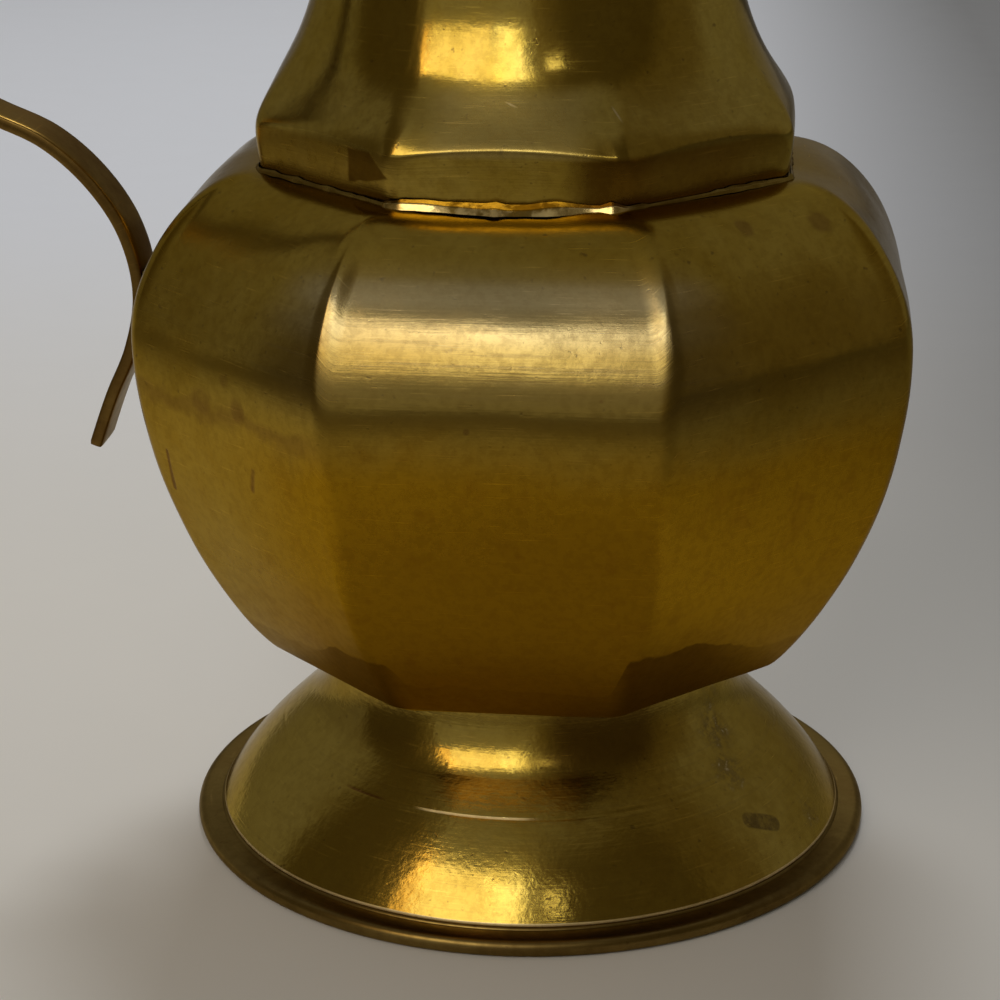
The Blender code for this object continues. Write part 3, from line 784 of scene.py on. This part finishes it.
def neck_marks(bench, look):
    """Fine scratches, a stained collar corner, red on the collar and a paler zone above it."""
    x, y, z = bench.axes(bench.place())
    wobble = (look["mottle"] - 0.5) * (0.8 * MM)
    for start, end, width in NECK_SCRATCHES:
        line = bench.stroke(in_metres(start), in_metres(end), width * MM, wobble * 0.2)
        tint(look, line * 0.7, (0.75, 0.62, 0.35))
        look["roughness"] += line * 0.25
    sideways = (x + wobble * 0.5).span(-24.9, -24.4) * (x + wobble).span(-16.2, -17.0)
    top = z + (x + 21 * MM).most(0.0) * 1.1 - wobble
    bottom = z - (x + 24.5 * MM).most(0.0) * 0.27 + wobble
    upright = bottom.span(118.4, 118.9) * top.span(124.3, 123.7)
    front = y.span(0, -1)
    darkened(look, sideways * upright * front * 0.85, (0.09, 0.045, 0.004))
    collar = (z + wobble).span(124.6, 123.6)
    right = (x + wobble * 3).span(8, 15)
    red = right * x.span(43, 31) * (x.span(24, 18) * 0.28 + 0.55)
    red = red + x.span(-15, -20) * 0.3
    darkened(look, collar * red * front, (0.24, 0.11, 0.008), 0.08)
    turned = (x + wobble).span(7, 13) * x.span(18, 15)
    darkened(look, collar * turned * front * 0.7, (0.08, 0.04, 0.003), 0.04)
    brushed = collar * (1.0 - right)
    look["height"] += brushed * look["lines"] * 10.0
    look["roughness"] += brushed * 0.06
    under = (z + wobble * 2).span(135, 131) * (1.0 - collar) * (1.0 - abs(x).span(8, 15) * 0.8)
    tint(look, under * 0.4, (0.46, 0.36, 0.14))
    look["roughness"] += under * 0.10


FOOT_STAINS = (
    ((30.0, -12.8, 27.4), 3.2, 0.45), ((32.7, -17.7, 22.3), 3.6, 0.50), ((35.4, -23.0, 17.5), 3.0, 0.45),
    ((-27.0, -17.0, 25.0), 1.2, 0.50), ((-25.5, -20.0, 24.0), 0.9, 0.40), ((48.5, -16.0, 6.5), 1.2, 0.35),
)
OVAL_SPOT = ((38.8, -29.0, 11.5), (42.9, -25.6, 9.4))


def foot_marks(bench, look):
    """Turning lines, a pitted stain, an oval spot, a painted highlight along the lower edge, a scribed line,
    painted shade on the stem.
    """
    x, y, z = bench.axes(bench.place())
    wobble = (look["mottle"] - 0.5) * (3.0 * MM)
    speckle = bench.noise(bench.place(), 620.0, 4.0, 0.7)
    for middle, size, share in FOOT_STAINS:
        stain = bench.spot(in_metres(middle), size * 0.6 * MM, 3.0 * MM, wobble * 1.4)
        darkened(look, stain * share * speckle.between(0.40, 0.56), (0.13, 0.09, 0.04))
        tint(look, stain * speckle.between(0.60, 0.66) * 0.6, (0.62, 0.50, 0.26))
    oval = bench.stroke(in_metres(OVAL_SPOT[0]), in_metres(OVAL_SPOT[1]), 1.8 * MM, wobble * 0.2)
    darkened(look, oval.between(0.05, 0.40) * (speckle.between(0.35, 0.60) * 0.35 + 0.35))
    fine = bench.lines(9.0, 1400.0, 4.0, 0.75)
    dents = bench.noise(bench.place(), 1000.0, 2.0, 0.5)
    look["height"] += fine * 16.0
    look["height"] += dents * 22.0
    tint(look, fine.between(0.52, 0.70) * 0.35, (0.25, 0.165, 0.045))
    # Painted highlight: a bright line is painted all round the bell's lower edge.
    edge = z.span(3.84, 3.72)
    tint(look, edge, (0.84, 0.66, 0.34))
    look["roughness"] += edge * 0.30
    front = y.span(0, -1)
    scribe = z.span(16.62, 16.70) * z.span(16.98, 16.90) * front
    bright = scribe * x.span(-16, -13) * x.span(6, 1)
    tint(look, bright * 0.9, (0.95, 0.78, 0.42))
    look["roughness"] += bright * 0.25
    red = scribe * x.span(-28, -26) * x.span(-20, -22)
    tint(look, red * 0.7, (0.24, 0.10, 0.03))
    # Painted shade: the stem is painted darker on both sides of its front, under the belly.
    dark = x.span(4, 9) * x.span(26, 20) + x.span(-14, -18) * 0.5
    stem = z.span(20, 24) * dark * front
    darkened(look, stem * 0.68, (0.16, 0.08, 0.012), 0.04)


def solder_highlight(bench, look):
    """A painted highlight in patches on the front lip; dull brass everywhere else."""
    x, y, _ = bench.axes(bench.place())
    # Painted highlight: the front lip of the seam is painted bright in patches, where the window's
    # reflection falls.
    front = y.span(-40.5, -42.0) * x.span(-20, -16) * x.span(20, 16)
    patchy_highlight = front * look["mottle"].between(0.40, 0.52)
    tint(look, patchy_highlight, (0.74, 0.55, 0.22))
    look["roughness"] -= patchy_highlight * 0.10


belly_brass = aged_brass(
    "belly_brass", (0.43, 0.29, 0.045), (0.34, 0.21, 0.022), 0.12, 0.20, belly_marks, waver=22.0)
neck_brass = aged_brass(
    "neck_brass", (0.45, 0.32, 0.062), (0.37, 0.245, 0.030), 0.08, 0.16, neck_marks, 3.0, waver=26.0)
foot_brass = aged_brass(
    "foot_brass", (0.46, 0.325, 0.062), (0.36, 0.235, 0.034), 0.10, 0.18, foot_marks, 5.0, waver=40.0)
dark_brass = aged_brass("dark_brass", (0.23, 0.155, 0.045), (0.13, 0.08, 0.022), 0.26, 0.40, seed=7.0)
strap_brass = aged_brass("strap_brass", (0.23, 0.14, 0.034), (0.12, 0.060, 0.015), 0.24, 0.38, seed=9.0)
solder_metal = aged_brass(
    "solder_metal", (0.27, 0.18, 0.04), (0.15, 0.09, 0.018), 0.22, 0.38, solder_highlight, 11.0, waver=60.0)

# %% [markdown]
# ## Foot
# The foot is two turned pieces: a flat ring with a rounded edge, and a bell spun over a former.
# Both are profiles carried round a full circle. The bell has a scribed line, cut with the point
# of a tool while it turned.

# %% Foot ring and bell
ROUND_COLUMNS = 256
GROOVE_Z = 16.8 * MM
GROOVE_DEPTH = 0.04 * MM


def turned_grid(radius, z):
    """A profile of radius and height carried round the axis, counter-clockwise."""
    angle = np.arange(ROUND_COLUMNS) * 2 * math.pi / ROUND_COLUMNS
    radius, z = np.asarray(radius)[:, None], np.asarray(z)[:, None]
    return np.stack([radius * np.cos(angle), radius * np.sin(angle), z + 0 * angle], axis=2)


def foot_rim_profile():
    """Underside, half-round edge, flat top, a line of solder, the lip that centres the bell."""
    edge = RIM_THICKNESS / 2
    angle = np.linspace(-math.pi / 2, math.pi / 2, 17)
    lip = BELL_RADIUS - SHEET - 1.5 * JOINT_GAP
    lip_top = RIM_THICKNESS + RIM_LIP_HEIGHT
    lip_top_radius = bell_radius(lip_top) - 1.3 * SHEET - 1.5 * JOINT_GAP
    under = np.linspace(RIM_BORE, RIM_RADIUS - edge, 6)[:-1]
    flat = np.linspace(RIM_RADIUS - edge, BELL_RADIUS + 0.45 * MM, 4)[1:]
    line = BELL_RADIUS + np.array([0.36, 0.22, 0.05, -0.15, -0.30, -0.50]) * MM
    line_z = RIM_THICKNESS + np.array([0.16, 0.30, 0.36, 0.34, 0.24, 0.0]) * MM
    radius = np.concatenate([
        under, RIM_RADIUS - edge + edge * np.cos(angle), flat, line, [lip, lip, lip_top_radius, RIM_BORE],
    ])
    z = np.concatenate([
        0 * under, edge + edge * np.sin(angle), 0 * flat + RIM_THICKNESS, line_z,
        [RIM_THICKNESS, BELL_BASE_Z, lip_top, lip_top],
    ])
    return radius, z


def foot_bell_profile():
    """Outer face from the edge up to the turned-in flange, then back along the inner face."""
    bend = 1.2 * MM
    side_z = np.linspace(BELL_BASE_Z + BELL_STEP, BELL_TOP_Z - bend, 140)
    groove = np.exp(-(((side_z - GROOVE_Z) / (0.16 * MM)) ** 2))
    side = bell_radius(side_z) - GROOVE_DEPTH * groove
    turn = np.linspace(0.0, math.pi / 2, 9)[1:]
    flange = np.linspace(side[-1] - bend, side[-1] - BELL_FLANGE, 5)[1:]
    inner_z = np.linspace(BELL_TOP_Z - SHEET, BELL_BASE_Z, 50)
    inner = bell_radius(np.maximum(inner_z, BELL_BASE_Z + BELL_STEP)) - 1.3 * SHEET
    radius = np.concatenate([
        [BELL_RADIUS - 0.15 * MM, BELL_RADIUS], side, side[-1] - bend * (1 - np.cos(turn)), flange,
        flange[-1:], inner,
    ])
    z = np.concatenate([
        [BELL_BASE_Z, BELL_BASE_Z + 0.15 * MM], side_z, side_z[-1] + bend * np.sin(turn),
        0 * flange + BELL_TOP_Z, [BELL_TOP_Z - SHEET], inner_z,
    ])
    return radius, z


foot_rim = make_piece("foot_ring", turned_grid(*foot_rim_profile()), dark_brass)
stand(foot_rim, "foot_rim")
foot_bell = make_piece("foot_cone", turned_grid(*foot_bell_profile()), foot_brass)
stand(foot_bell, "foot_bell")

# %% [markdown]
# ## Belly
# The belly is one raised shell: bowl, shoulder, a level seat for the neck and a lip inside it.
# Its inner face follows the outer one at the thickness of the sheet.

# %% Belly
BELLY_PILLOW = 0.30 * MM
SWELL_ROOM = 0.14 * MM
ROLL = 4.5 * MM
FRONT_DROP = 3.2 * MM


def rolled_profile():
    """Bowl and shoulder at even steps of length, the turn at the widest height rolled round.

    A running mean with a bell-shaped weight rounds the turn; its share is 1 near the widest
    height and falls to 0 within 20 mm, so both ends of the curve stay where the CAD has them.
    """
    half_low, z_low = bowl_point(np.linspace(math.pi / 2, 0.0, 400))
    half_high, z_high = shoulder_point(np.linspace(0.0, math.pi / 2, 400)[1:])
    half, z = np.concatenate([half_low, half_high]), np.concatenate([z_low, z_high])
    length = np.concatenate([[0.0], np.cumsum(np.hypot(np.diff(half), np.diff(z)))])
    even = np.linspace(0.0, length[-1], 180)
    half, z = np.interp(even, length, half), np.interp(even, length, z)
    weight = np.exp(-(((even[:, None] - even[None, :]) / ROLL) ** 2) / 2)
    weight /= weight.sum(axis=1, keepdims=True)
    share = np.exp(-(((z - BELLY_WIDE_Z) / (9 * MM)) ** 4))
    return half + share * (weight @ half - half), z + share * (weight @ z - z)


def lowered_front(grid, half):
    """Front and back facets moved down, fading out towards the foot and the neck's seat.

    They stand FRONT_DROP lower where the row is wider than 56 mm and higher than 84 mm; the
    weight across is |sin(turn)|**4.
    """
    z = grid[:, :, 2]
    wide = smooth_share(half, NECK_SEAT_HALF + 0.5 * MM, 56 * MM)[:, None]
    share = smooth_share(z, 60 * MM, 84 * MM) * wide
    shaped = grid.copy()
    shaped[:, :, 2] -= FRONT_DROP * share * np.sin(TURNED) ** 4
    return shaped


def belly_grid():
    """Outer rows from the base to the lip, then the inner rows back down, as one loop."""
    half, z = rolled_profile()
    fullness = np.clip((half - BOWL_BASE_HALF) / (BELLY_HALF - BOWL_BASE_HALF), 0.0, 1.0)
    pillow = BELLY_PILLOW * (0.35 + 0.65 * fullness)
    half = half - SWELL_ROOM * fullness**2
    outer = lowered_front(octagon_grid(half, z, np.full_like(half, CORNER_RADIUS), pillow), half)
    outer = hand_worked(outer, seed=11)
    seat_corner = CORNER_RADIUS - SHEET - JOINT_GAP
    seat_half = np.array([NECK_LIP_HALF, NECK_LIP_HALF, NECK_LIP_HALF - SHEET, NECK_LIP_HALF - SHEET])
    lip_top = SHOULDER_TOP_Z + NECK_LIP_HEIGHT
    seat_z = np.array([SHOULDER_TOP_Z, lip_top, lip_top, SHOULDER_TOP_Z - SHEET])
    seat = octagon_grid(seat_half, seat_z, np.full(4, seat_corner), np.zeros(4))
    inside = slice(-5, None, -3)
    inner_half, inner_z = offset_profile(half[inside], z[inside], -SHEET)
    inner_z = np.maximum(inner_z, BELLY_BASE_Z)
    inner_corner = np.full_like(inner_half, CORNER_RADIUS - SHEET)
    inner = octagon_grid(inner_half, inner_z, inner_corner, pillow[inside])
    inner = lowered_front(inner, half[inside])
    return np.concatenate([outer, seat, inner])


belly = make_piece("belly", belly_grid(), belly_brass)
stand(belly, "belly_shell")

# %% [markdown]
# ## Neck
# The neck is raised in the same way and pinched to a spout at the mouth. A window in space,
# widest at the spout, draws each row out and up, more towards the mouth. Round the waist the
# section is also a little wider than deep, and it leans by less than half a millimetre.

# %% Neck
NECK_PILLOW = 2.0 * MM
NECK_LOWER = 1.3 * MM
NECK_SWELL = 0.25 * MM
WAIST_FADE = 24.0 * MM
CRISP_RISE = 2.5 * MM
WAIST_WIDEN = 0.036
WAIST_LEAN = 0.45 * MM
CREASE_ARCH = 1.1 * MM
CREASE_SOFT = 2.2 * MM


def with_spout(grid, z):
    """Rows drawn out along +X and raised there, more towards the mouth."""
    start = WAIST_Z + SPOUT_START * MOUTH_RISE
    growth = (np.maximum(0.0, (np.asarray(z) - start) / (MOUTH_Z - start)) ** 2)[:, None]
    angle = np.abs(np.arctan2(grid[:, :, 1], grid[:, :, 0]))
    window = 0.5 * (1 + np.cos(np.pi * np.clip(angle / SPOUT_HALF_ANGLE, 0.0, 1.0)))
    shaped = grid.copy()
    shaped[:, :, 0] += SPOUT_REACH * growth * window
    shaped[:, :, 2] += SPOUT_RISE * growth * window
    return shaped


def worked_half(z):
    """The neck's half width, its hollow a little lower and the wall straight down to the collar."""
    lower = smooth_share(z, CREASE_Z + 3 * MM, CREASE_Z + 13 * MM)
    lower = lower * (1 - smooth_share(z, WAIST_Z + 4 * MM, WAIST_Z + WAIST_FADE))
    start = CREASE_Z + CRISP_RISE
    slope = (neck_half(start + 0.1 * MM) - neck_half(start)) / (0.1 * MM)
    straight = np.minimum(COLLAR_HALF, neck_half(start) + slope * (z - start))
    return np.where((z > CREASE_Z) & (z < start), straight, neck_half(z + NECK_LOWER * lower))


def neck_rows(z, inset=0.0):
    """Octagon rows whose facets are pillowed and whose corners round out towards the waist.

    The middle of a facet stands at the worked half width, less the inset. Round the waist the
    section is a little wider than deep, leans towards the handle by less than half a millimetre
    and swells out a little below the waist; the facets' swell of the CAD comes in above it.
    """
    upper = smooth_share(z, WAIST_Z, WAIST_Z + WAIST_FADE)
    pillow = NECK_PILLOW * (0.14 + 0.86 * smooth_share(z, CREASE_Z, CREASE_Z + 14 * MM))
    pillow = pillow * (1 - 0.8 * upper)
    corner = neck_corner(z) - inset
    lean = facet_lean(worked_half(z) - corner, corner, pillow)
    rise = pillow + corner * (np.cos(lean) - 1)
    half = worked_half(z) - inset - rise * (1 - upper) + upper * corner_swell(z)
    half = half + NECK_SWELL * np.exp(-(((z - WAIST_Z + 13 * MM) / (7 * MM)) ** 2))
    rows = octagon_grid(half, z, corner, pillow)
    widen = smooth_share(z, CREASE_Z, CREASE_Z + 10 * MM) * (1 - upper)
    rows[:, :, 0] *= 1 + WAIST_WIDEN * widen[:, None]
    rows[:, :, 0] -= WAIST_LEAN * widen[:, None]
    return rows


def soft_creases(rows, z):
    """Rows averaged along the height: fully at the sides and corners, hardly in front."""
    weight = np.exp(-(((z[:, None] - z[None, :]) / CREASE_SOFT) ** 2) / 2)
    weight /= weight.sum(axis=1, keepdims=True)
    front = np.clip(-np.sin(TURNED), 0.0, 1.0) ** 6
    share = 0.03 + 0.95 * np.maximum(0.5 * np.abs(ACROSS) ** 8, 1 - front)
    fade = np.clip((z - NECK_BASE_Z) / (3 * MM), 0.0, 1.0)
    change = np.einsum("ij,jkl->ikl", weight, rows) - rows
    return rows + share[None, :, None] * fade[:, None, None] * change


def neck_grid():
    """Outer rows from the seat to the mouth, a rounded lip, then the inner rows back down."""
    z = np.concatenate([
        np.linspace(NECK_BASE_Z, CREASE_Z, 22)[:-1],
        CREASE_Z + WAIST_RISE * np.linspace(0.0, 1.0, 74)[:-1] ** 1.2,
        np.linspace(WAIST_Z, MOUTH_Z - 0.3 * MM, 60),
    ])
    outer = soft_creases(neck_rows(z), z)
    arch = CREASE_ARCH * np.exp(-(((z - CREASE_Z) / (3.2 * MM)) ** 2))
    outer[:, :, 2] += arch[:, None] * (1 - ACROSS**2)
    outer = with_spout(hand_worked(outer, seed=23, swell=0.06 * MM, dent=0.012 * MM), z)
    lip_z = MOUTH_Z - np.array([0.08, 0.0, 0.0, 0.08]) * MM
    insets = np.array([0.1, 0.4, 0.8, 1.1]) * MM
    lip = np.stack([neck_rows(lip_z[k:k + 1], inset)[0] for k, inset in enumerate(insets)])
    inner_z = z[::-1][::2]
    inner = neck_rows(inner_z, SHEET)
    return np.concatenate([outer, with_spout(lip, np.full(4, MOUTH_Z)), with_spout(inner, inner_z)])


neck = make_piece("neck", neck_grid(), neck_brass)
stand(neck, "neck_shell")

# %% [markdown]
# ## Solder and bead
# The collar is soldered to the shoulder with an uneven seam, wide in front with a bead at each
# front corner and small elsewhere. A round wire stiffens the mouth.

# %% Neck solder and mouth bead
def neck_solder_grid():
    """A steep face and a level top carried round the octagon, wide in front, small elsewhere.

    Its size is a base, plus a plateau over the front facet, plus a blob at each front corner,
    plus seeded waves; the outer edge rests on the shoulder.
    """
    inner = NECK_SEAT_HALF + 0.5 * JOINT_GAP
    share = np.linspace(0.0, 1.0, 7)
    face = share[:, None] * (-0.32, 0.85) + (1.0, 0.0)
    top = share[1:, None] * (-0.62, 0.15) + (0.68, 0.85)
    width, height = np.concatenate([[(0.0, 0.0)], face, top]).T
    rows = len(width)
    base = octagon_grid(*(np.full(rows, value) for value in (inner, NECK_BASE_Z, CORNER_RADIUS, 0.0)))
    around = np.roll(base, -1, axis=1) - np.roll(base, 1, axis=1)
    outward = np.stack([around[:, :, 1], -around[:, :, 0], 0 * around[:, :, 0]], axis=2)
    outward /= np.linalg.norm(outward, axis=2, keepdims=True)
    turn = np.degrees(np.arctan2(base[:, :, 0], -base[:, :, 1]))
    plateau = np.exp(-((turn / 20.0) ** 6))
    blobs = np.exp(-(((np.abs(turn) - 21.5) / 2.4) ** 2))
    bowed = np.cos(np.radians(np.clip(turn, -22, 22) * 4)) ** 2 * plateau
    size = 0.26 + 0.44 * plateau + 0.42 * blobs + ripples(base, 31, 14 * MM, 2 * MM, 0.13)
    size = np.clip(size, 0.18, 1.0)
    reach = SOLDER_WIDTH * size + 1.9 * MM * bowed
    grid = base + outward * width[:, None, None] * reach[:, :, None]
    drop = (0.34 + 0.36 * bowed) * MM * (width / width.max())[:, None]
    grid[:, :, 2] += SOLDER_HEIGHT * height[:, None] * size - drop
    return grid


neck_seam = make_piece("neck_seam", neck_solder_grid(), solder_metal, sharp=60.0)
stand(neck_seam, "neck_solder")


def mouth_bead_grid():
    """A round wire whose centre runs over the mouth's edge, a solder film above the sheet."""
    z = np.array([MOUTH_Z - MOUTH_RISE / 7, MOUTH_Z])
    below, edge = with_spout(neck_rows(z), z)
    rise = edge - below
    rise /= np.linalg.norm(rise, axis=1, keepdims=True)
    along = np.roll(edge, -1, axis=0) - np.roll(edge, 1, axis=0)
    side = np.cross(along, rise)
    side /= np.linalg.norm(side, axis=1, keepdims=True)
    up = np.cross(side, along)
    up /= np.linalg.norm(up, axis=1, keepdims=True)
    centre = edge - side * SHEET / 2 + up * (BEAD_RADIUS + BEAD_GAP)
    angle = (np.arange(16) * 2 * math.pi / 16)[:, None, None]
    return centre + BEAD_RADIUS * (np.cos(angle) * side + np.sin(angle) * up)


bead = make_piece("mouth_wire", mouth_bead_grid(), neck_brass, sharp=60.0)
stand(bead, "mouth_bead")

# %% [markdown]
# ## Handle
# The handle is a flat strap, bent to an S and brazed to belly and neck. Its centreline is a
# smooth curve through a few points, and a flat section with worn corners is carried along it.

# %% Strap
STRAP_WIDTH = 10.2 * MM
STRAP_THICKNESS = 2.3 * MM
BRAZE_THICKNESS = 1.2 * MM
STRAP_STANDOFF = BRAZE_THICKNESS + 2 * JOINT_GAP + STRAP_THICKNESS / 2
HANDLE_BOW = 48.95 * MM
TOUCH_DROP = 2.5 * MM
TAIL_OUT, TAIL_DROP = 8.8 * MM, 26.5 * MM
ARCH_OUT, ARCH_RISE = 24.0 * MM, 30.0 * MM
HEAD_DROP, HEAD_LENGTH = 8.0 * MM, 10.0 * MM
CREST_OUT, CREST_RISE = 25.0 * MM, 3.5 * MM


def neck_back(z):
    """Centreline point of the strap beside the neck's back facet at a height."""
    slope = float(neck_half(np.array(z + MM)) - neck_half(np.array(z - MM))) / (2 * MM)
    return (-float(neck_half(np.array(z))) - STRAP_STANDOFF * math.hypot(1.0, slope), z)


def handle_points():
    """Points (x, z) of the strap's centreline, from its tail up to the neck."""
    touch_x, touch_z = -(BELLY_HALF + STRAP_STANDOFF), BELLY_WIDE_Z - TOUCH_DROP
    arch_x, arch_z = touch_x - ARCH_OUT, touch_z + ARCH_RISE
    bow_x = -(BELLY_HALF + HANDLE_BOW)
    crest_x, crest_z = -(MOUTH_HALF + CREST_OUT), MOUTH_Z + CREST_RISE
    span_x, span_z = crest_x - bow_x, crest_z - arch_z
    head_top = MOUTH_Z - HEAD_DROP
    return np.array([
        (touch_x - TAIL_OUT, touch_z - TAIL_DROP),
        (touch_x - 0.62 * TAIL_OUT, touch_z - 0.66 * TAIL_DROP),
        (touch_x - 0.22 * TAIL_OUT, touch_z - 0.36 * TAIL_DROP),
        (touch_x, touch_z),
        (touch_x - 0.10 * ARCH_OUT, touch_z + 0.38 * ARCH_RISE),
        (touch_x - 0.30 * ARCH_OUT, touch_z + 0.63 * ARCH_RISE),
        (touch_x - 0.62 * ARCH_OUT, touch_z + 0.86 * ARCH_RISE),
        (arch_x, arch_z),
        (bow_x + 0.44 * (arch_x - bow_x), arch_z + 0.08 * span_z),
        (bow_x + 0.06 * (arch_x - bow_x), arch_z + 0.26 * span_z),
        (bow_x + 0.02 * span_x, arch_z + 0.50 * span_z),
        (bow_x + 0.24 * span_x, arch_z + 0.78 * span_z),
        (bow_x + 0.58 * span_x, arch_z + 0.95 * span_z),
        (crest_x, crest_z),
        (crest_x + 0.52 * CREST_OUT, crest_z - 0.10 * CREST_OUT),
        neck_back(head_top),
        neck_back(head_top - HEAD_LENGTH),
    ])


def smooth_path(points, steps):
    """Cubic spans through all the points; neighbours share a slope by chord length."""
    chord = np.linalg.norm(np.diff(points, axis=0), axis=1)
    span = (points[1:] - points[:-1]) / chord[:, None]
    weight = (chord[1:] / (chord[1:] + chord[:-1]))[:, None]
    slope = np.empty_like(points)
    slope[1:-1] = span[:-1] * weight + span[1:] * (1 - weight)
    slope[0] = 1.5 * span[0] - 0.5 * slope[1]
    slope[-1] = 1.5 * span[-1] - 0.5 * slope[-2]
    u = (np.arange(steps) / steps)[None, :, None]
    start, end = points[:-1, None], points[1:, None]
    rise, fall = (chord[:, None] * slope[:-1])[:, None], (chord[:, None] * slope[1:])[:, None]
    path = (2 * u**3 - 3 * u**2 + 1) * start + (u**3 - 2 * u**2 + u) * rise
    path = path + (3 * u**2 - 2 * u**3) * end + (u**3 - u**2) * fall
    return np.concatenate([path.reshape(-1, 2), points[-1:]])


def strap_grid():
    """A rounded flat section carried along the centreline, drawn in at both ends."""
    path = smooth_path(handle_points(), 16)
    along = np.gradient(path, axis=0)
    along /= np.linalg.norm(along, axis=1, keepdims=True)
    normal = np.stack([along[:, 1], -along[:, 0]], axis=1)
    angle = np.arange(32) * 2 * math.pi / 32
    soft = 0.28
    across = np.sign(np.sin(angle)) * np.abs(np.sin(angle)) ** soft * STRAP_WIDTH / 2
    out = -np.sign(np.cos(angle)) * np.abs(np.cos(angle)) ** soft * STRAP_THICKNESS / 2
    ends = np.ones(len(path))
    ends[[0, -1]] = 0.90
    out, across = out[None, :] * ends[:, None], across[None, :] * (0.5 + 0.5 * ends)[:, None]
    x = path[:, 0:1] + normal[:, 0:1] * out
    z = path[:, 1:2] + normal[:, 1:2] * out
    return np.stack([x, across + 0 * x, z], axis=2)[:, ::-1]


strap = make_piece("handle", strap_grid(), strap_brass, round_rows=False, end_caps=True)
stand(strap, "handle_strap")

# %% [markdown]
# ## Hidden and small pieces
# The base pan closes the belly above the hollow foot, and three small fillets of braze join the
# foot and the strap. Their CAD shapes are right, so they stay and only get a better metal.

# %% Metals for the CAD pieces that stay
for node, metal in (
    ("base_pan", belly_brass),
    ("foot_solder", solder_metal),
    ("handle_belly_braze", solder_metal),
    ("handle_neck_braze", solder_metal),
):
    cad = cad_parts[node]
    for place in cad.material_slots:
        place.material = metal
    print(node, "has", len(cad.material_slots), "material slot(s)")
